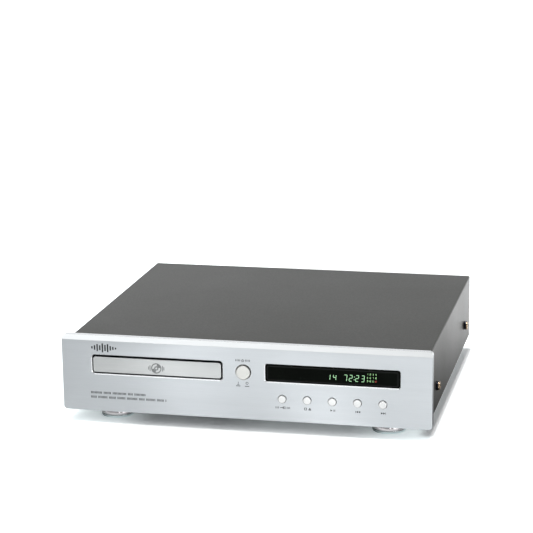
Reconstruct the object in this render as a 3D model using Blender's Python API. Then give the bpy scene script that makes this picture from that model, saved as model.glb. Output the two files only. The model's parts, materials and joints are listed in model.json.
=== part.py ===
"""Full-width compact disc player with a motorised disc tray.

The player stands on four turned feet.  The frame is +Z up, X across the front
(positive to the right of someone facing the player) and +Y towards the back.
The origin lies on the surface the feet stand on, midway across the width and
midway between the front of the power button and the ends of the rear sockets.

Every length below is in millimetres, measured in the front panel's own frame:
x from the middle of the panel, y from its front face towards the back, z from
its lower edge.  'world' turns such a point into metres in the player's frame.

A name ending in _XS, _YS or _ZS is a (low, high) pair along that axis, one
ending in _AT is a pair of centre coordinates, and one ending in _R a radius.
"""

import math

import bmesh
import bpy
from mathutils import Vector

MM = 0.001
SIDES = (("left", -1), ("right", 1))


def span(centre, half):
    """The (low, high) pair that reaches half to either side of centre."""
    return centre - half, centre + half


def grow(pair, margin):
    """A (low, high) pair widened by margin at both ends."""
    return pair[0] - margin, pair[1] + margin


# ---------------------------------------------------------------- main dimensions
GAP = 0.3                     # clearance between neighbouring parts
SHEET = 1.2                   # steel sheet of cover, pan and rear plate
FOOT_HEIGHT = 14.0            # floor to the lower edge of the front panel
PANEL_W, PANEL_H, PANEL_T = 440.0, 91.6, 10.0

CASE_HALF_W = 430.3 / 2       # cover, outside
CASE_TOP, CASE_BOTTOM = 85.3, 4.8
CASE_FRONT, CASE_BACK = PANEL_T + GAP, 386.0
PAN_HALF_W = CASE_HALF_W - SHEET - 0.45
FLOOR_TOP = CASE_BOTTOM + SHEET

# Front layout: tray bay to the left of the middle, window to the right
BAY_X = 104.2
TRAY_X = -BAY_X
SLOT_XS, SLOT_ZS = span(TRAY_X, 157.6 / 2), (45.9, 68.5)
WINDOW_XS, WINDOW_ZS, WINDOW_CORNER_R = span(BAY_X, 157.2 / 2), (47.3, 68.0), 2.4
POWER_AT, POWER_PROUD, POWER_TRAVEL = (-0.3, 57.1), 2.0, 3.0
KEY_Z, KEY_PITCH = 27.2, 29.4
KEY_NAMES = ("key_source", "key_stop", "key_play", "key_back", "key_forward")
KEY_PLACES = [(BAY_X + (i - 2) * KEY_PITCH, KEY_Z) for i in range(len(KEY_NAMES))]

# Side screws
SCREW_Z, SCREW_SHANK_R = 32.0, 2.0
SCREW_ROWS = (("front", 68.0), ("rear", 333.0))

# Disc and tray, with the tray shut
DISC_AT, DISC_R = (TRAY_X, 68.0), 60.0
TRAY_YS = (3.0, 190.0)
TRAY_TOP, TRAY_UNDER, TRAY_SKIRT = 63.0, 57.0, 50.0

# Gear train that drives the tray: rack, tray gear, pulley gear, belt, motor
MODULE = 1.0
TRAY_GEAR_TEETH, PINION_TEETH = 20, 10
TRAY_GEAR_R = MODULE * TRAY_GEAR_TEETH / 2
PINION_R = MODULE * PINION_TEETH / 2
RACK_PITCH_X = TRAY_X + 62.0
TRAY_GEAR_AT = (RACK_PITCH_X - TRAY_GEAR_R, 32.0)
PULLEY_GEAR_AT = (TRAY_GEAR_AT[0] - TRAY_GEAR_R - PINION_R, 32.0)
MOTOR_AT = (TRAY_X - 8.0, 30.0)
PULLEY_R, PULLEY_GROOVE = 11.0, 1.2
MOTOR_PULLEY_R, MOTOR_PULLEY_GROOVE = 2.75, 0.8
GEAR_ZS, PULLEY_ZS = (50.6, 56.4), (42.0, 46.0)

# Loader chassis, centred on TRAY_X
CHASSIS_YS = (18.0, 204.0)
CHASSIS_INNER, CHASSIS_OUTER = 76.5, 80.0   # half widths between and over the walls
DECK_ZS = (38.0, 40.0)

# Lift frame that raises the turntable: modelled level, then let down
LIFT_ORIGIN = (TRAY_X, 186.0, 44.0)
LIFT_AXIS_Y, LIFT_AXIS_Z = LIFT_ORIGIN[1:]
LIFT_DROP_DEG = 6.0
LIFT_BOTTOM, LIFT_TOP = LIFT_ZS = (46.0, 48.0)
SLED_YS = (84.5, 108.0)
ROD_X, ROD_Z, ROD_R = 22.0, 51.2, 1.5       # x to either side of TRAY_X

# Gear train that drives the sled
SLED_MODULE = 0.8
SLED_PINION_TEETH, SLED_WHEEL_TEETH, SLED_MOTOR_TEETH = 12, 24, 10
SLED_PINION_R, SLED_WHEEL_R, SLED_MOTOR_R = (
    SLED_MODULE * teeth / 2 for teeth in (SLED_PINION_TEETH, SLED_WHEEL_TEETH, SLED_MOTOR_TEETH)
)
SLED_RACK_X = 32.0            # pitch line, from TRAY_X
SLED_GEAR_AT = (TRAY_X + (SLED_RACK_X + SLED_PINION_R), 118.0)
SLED_MOTOR_AT = (SLED_GEAR_AT[0], SLED_GEAR_AT[1] + SLED_WHEEL_R + SLED_MOTOR_R)
SLED_GEAR_ZS = (LIFT_TOP + 0.4, 50.2)

# Boards
BOARD_Z, BOARD_T = 14.0, 1.6
BOARD_TOP = BOARD_Z + BOARD_T
MAIN_BOARD_XS, MAIN_BOARD_YS = (-196.0, 6.0), (226.0, 376.0)
POWER_BOARD_XS, POWER_BOARD_YS = (24.0, 200.0), (190.0, 340.0)

# Rear sockets
SOCKET_Z, SOCKET_PROUD = 42.0, 10.0
AUDIO_X, AUDIO_PITCH = -150.0, 22.0
AUDIO_PORT_XS = span(AUDIO_X, AUDIO_PITCH / 2)
DIGITAL_X = -76.0
ROUND_PORT_X, SQUARE_PORT_X = span(DIGITAL_X, 10)
INLET_X = 160.0

# The frame's origin, midway between the foremost and rearmost points
Y_MID = (-POWER_PROUD + CASE_BACK + SOCKET_PROUD) / 2


def world(x, y, z):
    return Vector((x * MM, (y - Y_MID) * MM, (z + FOOT_HEIGHT) * MM))


# ---------------------------------------------------------------- scene and materials
for old in list(bpy.data.objects):
    bpy.data.objects.remove(old, do_unlink=True)


def material(name, colour, roughness, metallic=0.0):
    made = bpy.data.materials.new(name)
    made.use_nodes = True
    made.diffuse_color = (*colour, 1.0)
    shader = made.node_tree.nodes["Principled BSDF"]
    shader.inputs["Base Color"].default_value = (*colour, 1.0)
    shader.inputs["Roughness"].default_value = roughness
    shader.inputs["Metallic"].default_value = metallic
    return made


FRONT_ALU = material("brushed_front", (0.62, 0.64, 0.66), roughness=0.32, metallic=1.0)
DOOR_ALU = material("door_face", (0.66, 0.68, 0.70), roughness=0.34, metallic=1.0)
KEY_ALU = material("key_metal", (0.78, 0.79, 0.80), roughness=0.28, metallic=1.0)
CASE_PAINT = material("case_paint", (0.15, 0.15, 0.15), roughness=0.5)
STEEL = material("zinc_steel", (0.55, 0.56, 0.57), roughness=0.35, metallic=1.0)
FOOT_ALU = material("turned_foot", (0.56, 0.57, 0.58), roughness=0.22, metallic=1.0)
PAD_RUBBER = material("pad_rubber", (0.03, 0.03, 0.03), roughness=0.8)
DARK_PLASTIC = material("dark_plastic", (0.03, 0.03, 0.032), roughness=0.5)
GREY_PLASTIC = material("grey_plastic", (0.16, 0.16, 0.17), roughness=0.5)
WHITE_PLASTIC = material("white_plastic", (0.75, 0.74, 0.70), roughness=0.45)
WINDOW_SMOKE = material("smoked_window", (0.008, 0.009, 0.010), roughness=0.06)
TUBE_GLASS = material("tube_glass", (0.05, 0.09, 0.08), roughness=0.08)
SCREW_BLACK = material("black_screw", (0.04, 0.037, 0.035), roughness=0.22, metallic=1.0)
BOARD_GREEN = material("board_green", (0.02, 0.16, 0.07), roughness=0.45)
COPPER = material("winding_tape", (0.45, 0.20, 0.06), roughness=0.4, metallic=0.3)
CAN_BLACK = material("capacitor_sleeve", (0.03, 0.03, 0.06), roughness=0.3)
SINK_BLACK = material("heatsink_black", (0.03, 0.03, 0.03), roughness=0.5, metallic=0.8)
BELT_RUBBER = material("belt_rubber", (0.015, 0.015, 0.015), roughness=0.7)
BRASS = material("brass", (0.70, 0.52, 0.22), roughness=0.3, metallic=1.0)
CABLE_GREY = material("ribbon_grey", (0.45, 0.46, 0.48), roughness=0.5)


# ---------------------------------------------------------------- outlines
def polar(centre, radius, angle):
    return (centre[0] + radius * math.cos(angle), centre[1] + radius * math.sin(angle))


def circle(centre, radius, steps):
    return [polar(centre, radius, 2 * math.pi * i / steps) for i in range(steps)]


def rounded_rect(across, along, radius, steps=4):
    """A rectangle over two (low, high) pairs, corners rounded, counter-clockwise."""
    (left, right), (low, high) = grow(across, -radius), grow(along, -radius)
    corners = ((right, low, -90), (right, high, 0), (left, high, 90), (left, low, 180))
    return [
        polar((x, y), radius, math.radians(start + 90 * i / steps))
        for x, y, start in corners
        for i in range(steps + 1)
    ]


# Straight-sided teeth, a little thin so that meshed gears run free.
TOOTH_RISE, TOOTH_DIP = 0.80, 1.15            # tip and root from the pitch line, in modules
TOOTH_WIDTH = 0.42                            # share of the tooth spacing
TOOTH_LEAN = math.tan(math.radians(20))


def gear_outline(centre, teeth, module, phase=0.0):
    pitch_radius = module * teeth / 2
    width = TOOTH_WIDTH * math.pi * module
    rise, dip = TOOTH_RISE * module, TOOTH_DIP * module
    points = []
    for i in range(teeth):
        middle = phase + 2 * math.pi * i / teeth
        for height, side in ((-dip, -1), (rise, -1), (rise, 1), (-dip, 1)):
            half = (width / 2 - height * TOOTH_LEAN) * side
            radius = pitch_radius + height
            points.append(polar(centre, radius, middle + math.asin(half / radius)))
    return points


def rack_outline(pitch_x, ends, back_x, module, tooth_side, gap_y):
    """A toothed strip along y, its teeth pointing to tooth_side in x.

    A tooth gap lies at gap_y, where the gear's own tooth points.
    """
    start, end = ends
    step = math.pi * module
    width = TOOTH_WIDTH * step
    rise, dip = TOOTH_RISE * module, TOOTH_DIP * module
    root_x = pitch_x - tooth_side * dip
    tip_x = pitch_x + tooth_side * rise
    wide, thin = width / 2 + dip * TOOTH_LEAN, width / 2 - rise * TOOTH_LEAN
    first = math.ceil((start + width - gap_y) / step - 0.5)
    last = math.floor((end - width - gap_y) / step - 0.5)
    points = [(back_x, start), (root_x, start)]
    for i in range(first, last + 1):
        y = gap_y + (i + 0.5) * step
        points += [(root_x, y - wide), (tip_x, y - thin), (tip_x, y + thin), (root_x, y + wide)]
    return points + [(root_x, end), (back_x, end)]


# ---------------------------------------------------------------- solids
def place(axis, point, height):
    """The 3D point at a height along an axis, over a point of the plane across it."""
    first, second = point
    return {
        "X": (height, first, second),
        "Y": (first, height, second),
        "Z": (first, second, height),
    }[axis]


class Solid:
    """Collects closed shells in millimetres, then becomes one object."""

    def __init__(self):
        self.bm = bmesh.new()

    def ring(self, outline, axis, height):
        return [self.bm.verts.new(place(axis, point, height)) for point in outline]

    def prism(self, outline, axis, ends):
        """An outline, extruded along an axis between two ends."""
        low, high = (self.ring(outline, axis, end) for end in ends)
        self.bm.faces.new(low)
        self.bm.faces.new(list(reversed(high)))
        count = len(outline)
        for i in range(count):
            j = (i + 1) % count
            self.bm.faces.new((low[i], high[i], high[j], low[j]))
        return self

    def tube(self, outer, inner, axis, ends):
        """A closed band between two outlines with as many points each."""
        low, high = ends
        loops = ((outer, low), (outer, high), (inner, high), (inner, low))
        rings = [self.ring(outline, axis, height) for outline, height in loops]
        count = len(outer)
        for ring, following in zip(rings, rings[1:] + rings[:1]):
            for i in range(count):
                j = (i + 1) % count
                self.bm.faces.new((ring[i], following[i], following[j], ring[j]))
        return self

    def box(self, xs, ys, zs):
        (x0, x1), (y0, y1) = xs, ys
        return self.prism([(x0, y0), (x1, y0), (x1, y1), (x0, y1)], "Z", zs)

    def rod(self, axis, centre, radius, ends, steps):
        return self.prism(circle(centre, radius, steps), axis, ends)

    def turned(self, profile, axis, centre, steps):
        """A profile of (radius, height) points turned about an axis through centre.

        A profile whose ends lie on the axis is solid; any other is a ring,
        and its last point joins its first.
        """
        rings = []
        for radius, height in profile:
            outline = [centre] if radius < 1e-6 else circle(centre, radius, steps)
            rings.append(self.ring(outline, axis, height))
        pairs = list(zip(rings, rings[1:]))
        if len(rings[0]) > 1:
            pairs.append((rings[-1], rings[0]))
        for low, high in pairs:
            for i in range(steps):
                j = (i + 1) % steps
                corners = (
                    low[i % len(low)], low[j % len(low)], high[j % len(high)], high[i % len(high)]
                )
                # A ring on the axis is one point, so its repeats are dropped.
                kept = list(dict.fromkeys(corners))
                if len(kept) > 2:
                    self.bm.faces.new(kept)
        return self

    def done(self, name, look=None, origin=None, smooth=False, parent=None, helper=False):
        """Make the object; its origin is the middle of its bounds unless given."""
        bm = self.bm
        bmesh.ops.recalc_face_normals(bm, faces=bm.faces)
        if origin is None:
            lows = [min(vert.co[i] for vert in bm.verts) for i in range(3)]
            highs = [max(vert.co[i] for vert in bm.verts) for i in range(3)]
            origin = [(low + high) / 2 for low, high in zip(lows, highs)]
        origin = Vector(origin)
        for vert in bm.verts:
            vert.co = (vert.co - origin) * MM
        mesh = bpy.data.meshes.new(name)
        bm.to_mesh(mesh)
        bm.free()
        made = bpy.data.objects.new(name, mesh)
        bpy.context.collection.objects.link(made)
        if look is not None:
            mesh.materials.append(look)
        if smooth:
            mesh.shade_smooth()
            mesh.set_sharp_from_angle(angle=math.radians(35))
        if parent is None:
            made.location = world(*origin)
        else:
            made.parent = parent
            made.location = (origin - Vector(LIFT_ORIGIN)) * MM
        if helper:
            made.hide_render = True
            made.display_type = "WIRE"
        return made


def combine(target, shape, operation, label):
    """Apply a hidden helper shape to a target; it shares the target's parent."""
    helper = shape.done(f"{target.name}-{label}", helper=True, parent=target.parent)
    modifier = target.modifiers.new(label, "BOOLEAN")
    modifier.operation = operation
    modifier.solver = "EXACT"
    modifier.object = helper


def cut(target, shape, label):
    combine(target, shape, "DIFFERENCE", label)


def fuse(target, shape, label):
    combine(target, shape, "UNION", label)


def cut_bore(gear, centre, radius, ends):
    cut(gear, Solid().rod("Z", centre, radius, ends, 12), "bore")


# ---------------------------------------------------------------- front panel
PANEL_CORNER_R = 4.5
CHAMFER_H, CHAMFER_D = 5.6, 3.5   # long chamfer along the panel's top edge
EDGE_BREAK = 0.8
PANEL_XS = span(0, PANEL_W / 2)
PANEL_CUT_YS = grow((0, PANEL_T), 2)

side_profile = [   # (y, z)
    (EDGE_BREAK, 0), (PANEL_T, 0), (PANEL_T, PANEL_H), (CHAMFER_D, PANEL_H),
    (0, PANEL_H - CHAMFER_H), (0, EDGE_BREAK),
]
front_panel = Solid().prism(side_profile, "X", PANEL_XS).done("front_panel", FRONT_ALU)
panel_face = rounded_rect(PANEL_XS, (0, PANEL_H), PANEL_CORNER_R, 5)
combine(
    front_panel, Solid().prism(panel_face, "Y", grow((0, PANEL_T), 5)), "INTERSECT", "corners"
)
openings = Solid()
openings.prism(rounded_rect(SLOT_XS, SLOT_ZS, 3.4), "Y", PANEL_CUT_YS)
openings.prism(rounded_rect(WINDOW_XS, WINDOW_ZS, WINDOW_CORNER_R), "Y", PANEL_CUT_YS)
openings.rod("Y", POWER_AT, 9.2, PANEL_CUT_YS, 32)
for centre in KEY_PLACES:
    openings.rod("Y", centre, 5.1, PANEL_CUT_YS, 20)
cut(front_panel, openings, "openings")

# The moulded frame behind the panel carries the window and guides the keys.
SUBFRAME_YS = (PANEL_T + GAP, PANEL_T + GAP + 2.0)
SUBFRAME_CUT_YS = grow(SUBFRAME_YS, 2)
front_subframe = Solid().box(span(0, 208), SUBFRAME_YS, (8.0, 82.5)).done(
    "front_subframe", DARK_PLASTIC
)
holes = Solid()
holes.prism(rounded_rect(grow(SLOT_XS, 1), grow(SLOT_ZS, 1), 2, 2), "Y", SUBFRAME_CUT_YS)
holes.prism(rounded_rect(span(BAY_X, 67), (49.0, 67.0), 1, 2), "Y", SUBFRAME_CUT_YS)
holes.rod("Y", POWER_AT, 12.0, SUBFRAME_CUT_YS, 20)
for centre in KEY_PLACES:
    holes.rod("Y", centre, 7.2, SUBFRAME_CUT_YS, 12)
cut(front_subframe, holes, "openings")

# ---------------------------------------------------------------- casing
BEND_R = 2.2


def folded_top(half_width, top, radius):
    """The upper edge of the cover's section, rounded at both bends, right to left."""
    outline = rounded_rect(span(0, half_width), (CASE_BOTTOM - 20, top), radius)
    return [point for point in outline if point[1] > 0]


def screw_holes(half_width):
    """Holes for the side screws through walls at half_width on both sides."""
    drills = Solid()
    for _, side in SIDES:
        for _, y in SCREW_ROWS:
            ends = (side * (half_width - 5), side * (half_width + 5))
            drills.rod("X", (y, SCREW_Z), SCREW_SHANK_R + 0.4, ends, 12)
    return drills


# Cover: one folded sheet, open below and at the back.
cover_inner = CASE_HALF_W - SHEET
cover_section = (
    [(CASE_HALF_W, CASE_BOTTOM)]
    + folded_top(CASE_HALF_W, CASE_TOP, BEND_R)
    + [(-CASE_HALF_W, CASE_BOTTOM), (-cover_inner, CASE_BOTTOM)]
    + folded_top(cover_inner, CASE_TOP - SHEET, BEND_R - SHEET)[::-1]
    + [(cover_inner, CASE_BOTTOM)]
)
top_cover = Solid().prism(cover_section, "Y", (CASE_FRONT, CASE_BACK)).done(
    "top_cover", CASE_PAINT
)
cut(top_cover, screw_holes(CASE_HALF_W), "screw_holes")

# Pan: floor, two side flanges and a front flange folded from one sheet,
# with pressed pillars for the two boards.
PAN_YS = (12.8, 384.3)
PAN_FLANGE_TOP = 44.0
PILLAR_INSET = 6
pan_inner = PAN_HALF_W - SHEET
pan_section = [   # (x, z)
    (-PAN_HALF_W, CASE_BOTTOM), (PAN_HALF_W, CASE_BOTTOM),
    (PAN_HALF_W, PAN_FLANGE_TOP), (pan_inner, PAN_FLANGE_TOP),
    (pan_inner, FLOOR_TOP), (-pan_inner, FLOOR_TOP),
    (-pan_inner, PAN_FLANGE_TOP), (-PAN_HALF_W, PAN_FLANGE_TOP),
]
base_pan = Solid().prism(pan_section, "Y", PAN_YS).done("base_pan", STEEL)
front_flange = Solid().box(
    span(0, 200), (PAN_YS[0], PAN_YS[0] + SHEET), (FLOOR_TOP - 0.6, 18.0)
)
fuse(base_pan, front_flange, "front_flange")
pillars = Solid()
for board_xs, board_ys in ((MAIN_BOARD_XS, MAIN_BOARD_YS), (POWER_BOARD_XS, POWER_BOARD_YS)):
    for x in grow(board_xs, -PILLAR_INSET):
        for y in grow(board_ys, -PILLAR_INSET):
            pillars.rod("Z", (x, y), 3.0, (FLOOR_TOP - 0.6, BOARD_Z - GAP), 8)
fuse(base_pan, pillars, "pillars")
cut(base_pan, screw_holes(PAN_HALF_W), "screw_holes")

# Rear plate with holes for the sockets.
REAR_CUT_YS = span(CASE_BACK, 5)
rear_panel = Solid().box(
    span(0, PAN_HALF_W), (CASE_BACK - SHEET, CASE_BACK), (CASE_BOTTOM, CASE_TOP - SHEET - GAP)
).done("rear_panel", CASE_PAINT)
rear_holes = Solid()
for x in (*AUDIO_PORT_XS, ROUND_PORT_X):
    rear_holes.rod("Y", (x, SOCKET_Z), 4.7, REAR_CUT_YS, 16)
rear_holes.box(span(SQUARE_PORT_X, 5.4), REAR_CUT_YS, span(SOCKET_Z, 5.4))
rear_holes.box(span(INLET_X, 14.4), REAR_CUT_YS, span(SOCKET_Z, 10.4))
cut(rear_panel, rear_holes, "socket_holes")

# Side screws, each with a recess in its tapered head.
SCREW_HEAD_R, SCREW_HEAD_H, SCREW_RECESS_R = 5.3, 4.2, 1.5
for side_name, side in SIDES:
    for row_name, y in SCREW_ROWS:
        tip = side * (PAN_HALF_W - 4)
        face = side * (CASE_HALF_W + GAP)
        Solid().turned(
            [
                (0, tip), (SCREW_SHANK_R, tip), (SCREW_SHANK_R, face), (SCREW_HEAD_R, face),
                (SCREW_HEAD_R, face + side * 1.8), (SCREW_HEAD_R * 0.72, face + side * 3.6),
                (SCREW_RECESS_R, face + side * SCREW_HEAD_H),
                (SCREW_RECESS_R, face + side * 1.4), (0, face + side * 1.4),
            ],
            "X", (y, SCREW_Z), 12,
        ).done(
            f"cover_screw_{side_name}_{row_name}", SCREW_BLACK,
            origin=(side * CASE_HALF_W, y, SCREW_Z), smooth=True,
        )

# Turned feet, bulged above a plain base band, with rubber pads let into them.
FOOT_R, PAD_R = 20.0, 15.0
FOOT_X, FOOT_ROWS = 164.5, (("front", 37.5), ("rear", 348.5))
PAD_RECESS_Z = -12.0
PAD_TOP = PAD_RECESS_Z - GAP
foot_profile = [   # (radius, z), from the top down
    (0, CASE_BOTTOM - GAP), (16.0, CASE_BOTTOM - GAP), (16.0, 1.6), (17.2, -1.0),
    (18.4, -3.2), (19.4, -6.2), (19.8, -9.0), (19.3, -9.8), (FOOT_R, -10.4),
    (FOOT_R, -13.4), (FOOT_R - 0.4, -13.7), (PAD_R + 0.4, -13.7),
    (PAD_R + 0.4, PAD_RECESS_Z), (0, PAD_RECESS_Z),
]
pad_profile = [(0, PAD_TOP), (PAD_R, PAD_TOP), (PAD_R, -FOOT_HEIGHT), (0, -FOOT_HEIGHT)]
for row_name, y in FOOT_ROWS:
    for side_name, side in SIDES:
        x = side * FOOT_X
        tag = f"{row_name}_{side_name}"
        Solid().turned(foot_profile, "Z", (x, y), 28).done(
            "foot_" + tag, FOOT_ALU, origin=(x, y, PAD_RECESS_Z), smooth=True
        )
        Solid().turned(pad_profile, "Z", (x, y), 28).done(
            "foot_pad_" + tag, PAD_RUBBER, origin=(x, y, -FOOT_HEIGHT), smooth=True
        )

# ---------------------------------------------------------------- display and controls
window_face = rounded_rect(
    grow(WINDOW_XS, -GAP), grow(WINDOW_ZS, -GAP), WINDOW_CORNER_R - GAP
)
Solid().prism(window_face, "Y", (0.6, 3.6)).done("display_window", WINDOW_SMOKE)
Solid().prism(rounded_rect(span(BAY_X, 64), (50.2, 65.8), 1.0, 2), "Y", (4.2, 13.4)).done(
    "display_tube", TUBE_GLASS
)

CONTROL_BOARD_YS = (14.0, 14.0 + BOARD_T)
control_board = Solid().box((-4, 200), CONTROL_BOARD_YS, (20.5, 46.0)).done(
    "control_board", BOARD_GREEN
)
fuse(control_board, Solid().box((30, 180), CONTROL_BOARD_YS, (44.0, 74.0)), "display_part")
switches = Solid()
for x, z in KEY_PLACES:
    switches.box(span(x, 3), (13.4, 14.6), span(z, 3))
fuse(control_board, switches, "key_switches")


FLANGE_FRONT = PANEL_T + 0.5   # flanges of the keys and button stay behind the panel
POWER_BACK = 12.1


def push_button(name, centre, proud, cap_radius, flange_radius, back, steps):
    """A round cap standing proud of the panel, with a flange behind it."""
    Solid().turned(
        [
            (0, -proud), (cap_radius, -proud), (cap_radius, FLANGE_FRONT),
            (flange_radius, FLANGE_FRONT), (flange_radius, back), (0, back),
        ],
        "Y", centre, steps,
    ).done(name, KEY_ALU, origin=(centre[0], -proud, centre[1]), smooth=True)


for name, centre in zip(KEY_NAMES, KEY_PLACES):
    push_button(
        name, centre, proud=1.0, cap_radius=4.5, flange_radius=6.2, back=12.0, steps=20
    )
push_button(
    "power_button", POWER_AT,
    proud=POWER_PROUD, cap_radius=8.1, flange_radius=11.0, back=POWER_BACK, steps=28,
)

# The switch's plunger ends just beyond the pressed button.
plunger_y = POWER_BACK + POWER_TRAVEL + 0.4
power_switch = Solid().box(span(0, 8), (plunger_y + 4, plunger_y + 26), (49, 66)).done(
    "power_switch", DARK_PLASTIC
)
fuse(power_switch, Solid().rod("Y", POWER_AT, 2.2, (plunger_y, plunger_y + 6), 12), "plunger")

# ---------------------------------------------------------------- disc tray
DOOR_W, DOOR_ZS, DOOR_BACK = 154.8, (47.9, 66.4), 2.6
Solid().prism(
    rounded_rect(span(TRAY_X, DOOR_W / 2), DOOR_ZS, 2.4), "Y", (-0.4, DOOR_BACK)
).done("tray_door", DOOR_ALU, origin=(TRAY_X, DOOR_BACK, sum(DOOR_ZS) / 2))

# Tray: a plate with a skirt down each side.
TRAY_XS = span(TRAY_X, 74.5)
SKIRT_T = 3.0
tray_front = TRAY_YS[0]
left, right = TRAY_XS
inner_left, inner_right = grow(TRAY_XS, -SKIRT_T)
tray_section = [   # (x, z)
    (left, TRAY_SKIRT), (inner_left, TRAY_SKIRT), (inner_left, TRAY_UNDER),
    (inner_right, TRAY_UNDER), (inner_right, TRAY_SKIRT), (right, TRAY_SKIRT),
    (right, TRAY_TOP), (left, TRAY_TOP),
]
disc_tray = Solid().prism(tray_section, "Y", TRAY_YS).done(
    "disc_tray", DARK_PLASTIC, origin=(TRAY_X, tray_front, TRAY_SKIRT)
)
apron = Solid().box(
    grow(TRAY_XS, -1.5), (tray_front + 0.5, tray_front + 3.5),
    (TRAY_SKIRT + 0.5, TRAY_UNDER + 1.3),
)
fuse(disc_tray, apron, "apron")
rack = rack_outline(
    RACK_PITCH_X, (14.0, 186.0), RACK_PITCH_X + 4.0, MODULE, tooth_side=-1, gap_y=TRAY_GEAR_AT[1]
)
fuse(disc_tray, Solid().prism(rack, "Z", (TRAY_SKIRT + 0.8, TRAY_UNDER + 1)), "rack")
cut(
    disc_tray,
    Solid().rod("Z", DISC_AT, DISC_R + 1.6, (TRAY_TOP - 2.6, TRAY_TOP + 3), 48),
    "disc_well",
)
cut(
    disc_tray,
    Solid().rod("Z", DISC_AT, 41.0, (TRAY_TOP - 4.2, TRAY_TOP + 5), 36),
    "small_disc_well",
)
# Slot for turntable and sled, round at its front end.
HUB_SLOT_R, HUB_SLOT_BACK = 19, 129.0
hub_slot = [polar(DISC_AT, HUB_SLOT_R, math.radians(angle)) for angle in range(180, 361, 20)]
hub_slot += [(TRAY_X + HUB_SLOT_R, HUB_SLOT_BACK), (TRAY_X - HUB_SLOT_R, HUB_SLOT_BACK)]
cut(disc_tray, Solid().prism(hub_slot, "Z", (TRAY_UNDER - 4, TRAY_TOP + 4)), "hub_slot")

# ---------------------------------------------------------------- loader chassis
CHASSIS_BOTTOM = 12.0
RUNNER_X, GUIDE_X = 68.5, 71.0   # inner edges of the ledges below and above the tray
loader_chassis = Solid().box(
    span(TRAY_X, CHASSIS_OUTER), CHASSIS_YS, (CHASSIS_BOTTOM, 15.0)
).done("loader_chassis", GREY_PLASTIC)
wall_profile = [   # (distance from TRAY_X, z)
    (CHASSIS_OUTER, CHASSIS_BOTTOM), (CHASSIS_OUTER, 66.0), (GUIDE_X, 66.0), (GUIDE_X, 63.6),
    (CHASSIS_INNER, 63.6), (CHASSIS_INNER, 49.4), (RUNNER_X, 49.4), (RUNNER_X, 46.4),
    (CHASSIS_INNER, 46.4), (CHASSIS_INNER, CHASSIS_BOTTOM),
]
for side_name, side in SIDES:
    wall = [(TRAY_X + side * x, z) for x, z in wall_profile]
    fuse(loader_chassis, Solid().prism(wall, "Y", CHASSIS_YS), "wall" + side_name[0])
deck = Solid().box(span(TRAY_X, CHASSIS_INNER + 1), (CHASSIS_YS[0], 44.6), DECK_ZS)
fuse(loader_chassis, deck, "deck")
PIN_ZS = (DECK_ZS[1] - 1, GEAR_ZS[1] - 0.4)
pins = Solid()
pins.rod("Z", TRAY_GEAR_AT, 2.0, PIN_ZS, 12)
pins.rod("Z", PULLEY_GEAR_AT, 1.6, PIN_ZS, 12)
fuse(loader_chassis, pins, "gear_pins")
bearings = Solid()
for _, side in SIDES:
    bearings.box(span(TRAY_X + side * 50, 2), span(LIFT_AXIS_Y, 6), (14.0, 50.0))
fuse(loader_chassis, bearings, "lift_bearings")
chassis_holes = Solid()
chassis_holes.prism(rounded_rect(span(TRAY_X, 66), (50, 176), 4, 2), "Z", (8, 19))
chassis_holes.rod("X", (LIFT_AXIS_Y, LIFT_AXIS_Z), 2.9, span(TRAY_X, 60), 16)
chassis_holes.rod("Z", MOTOR_AT, 3.3, grow(DECK_ZS, 2), 12)
cut(loader_chassis, chassis_holes, "openings")

# Bridge over the tray, and the puck that hangs in it.
BRIDGE_ZS = (66.4, 69.4)
clamp_bridge = Solid().prism(
    rounded_rect(span(TRAY_X, CHASSIS_OUTER), span(DISC_AT[1], 22), 4, 3), "Z", BRIDGE_ZS
).done("clamp_bridge", GREY_PLASTIC)
cut(clamp_bridge, Solid().rod("Z", DISC_AT, 14.7, grow(BRIDGE_ZS, 2), 24), "puck_hole")

PUCK_FLANGE_Z = BRIDGE_ZS[1] + GAP
Solid().turned(
    [
        (0, 68.2), (8.8, 68.2), (8.8, 64.0), (14.0, 64.0), (14.0, PUCK_FLANGE_Z),
        (18.0, PUCK_FLANGE_Z), (18.0, 71.6), (16.8, 72.4), (0, 72.4),
    ],
    "Z", DISC_AT, 24,
).done("clamp_puck", WHITE_PLASTIC, origin=(*DISC_AT, PUCK_FLANGE_Z), smooth=True)

# ---------------------------------------------------------------- tray drive
# Each gear's tooth meets a gap of the next.
gear_bottom, gear_top = GEAR_ZS
pulley_bottom, pulley_top = PULLEY_ZS

tray_gear = Solid().prism(
    gear_outline(TRAY_GEAR_AT, TRAY_GEAR_TEETH, MODULE), "Z", GEAR_ZS
).done("tray_gear", WHITE_PLASTIC, origin=(*TRAY_GEAR_AT, gear_bottom))
cut_bore(tray_gear, TRAY_GEAR_AT, 2.3, grow(GEAR_ZS, 3))


def pulley_rim(radius, groove):
    """The (radius, z) profile of a grooved pulley, from its lower centre to its top edge."""
    return [
        (0, pulley_bottom), (radius, pulley_bottom), (radius, pulley_bottom + 0.8),
        (radius - groove, pulley_bottom + 1.4), (radius - groove, pulley_top - 1.4),
        (radius, pulley_top - 0.8), (radius, pulley_top),
    ]


pulley_gear = Solid().turned(
    pulley_rim(PULLEY_R, PULLEY_GROOVE)
    + [(3.6, pulley_top), (3.6, gear_bottom + 0.5), (0, gear_bottom + 0.5)],
    "Z", PULLEY_GEAR_AT, 20,
).done("pulley_gear", WHITE_PLASTIC, origin=(*PULLEY_GEAR_AT, pulley_bottom))
pinion = gear_outline(PULLEY_GEAR_AT, PINION_TEETH, MODULE, phase=math.pi / PINION_TEETH)
fuse(pulley_gear, Solid().prism(pinion, "Z", GEAR_ZS), "pinion")
cut_bore(pulley_gear, PULLEY_GEAR_AT, 1.95, (pulley_bottom - 3, gear_top + 3))

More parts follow.
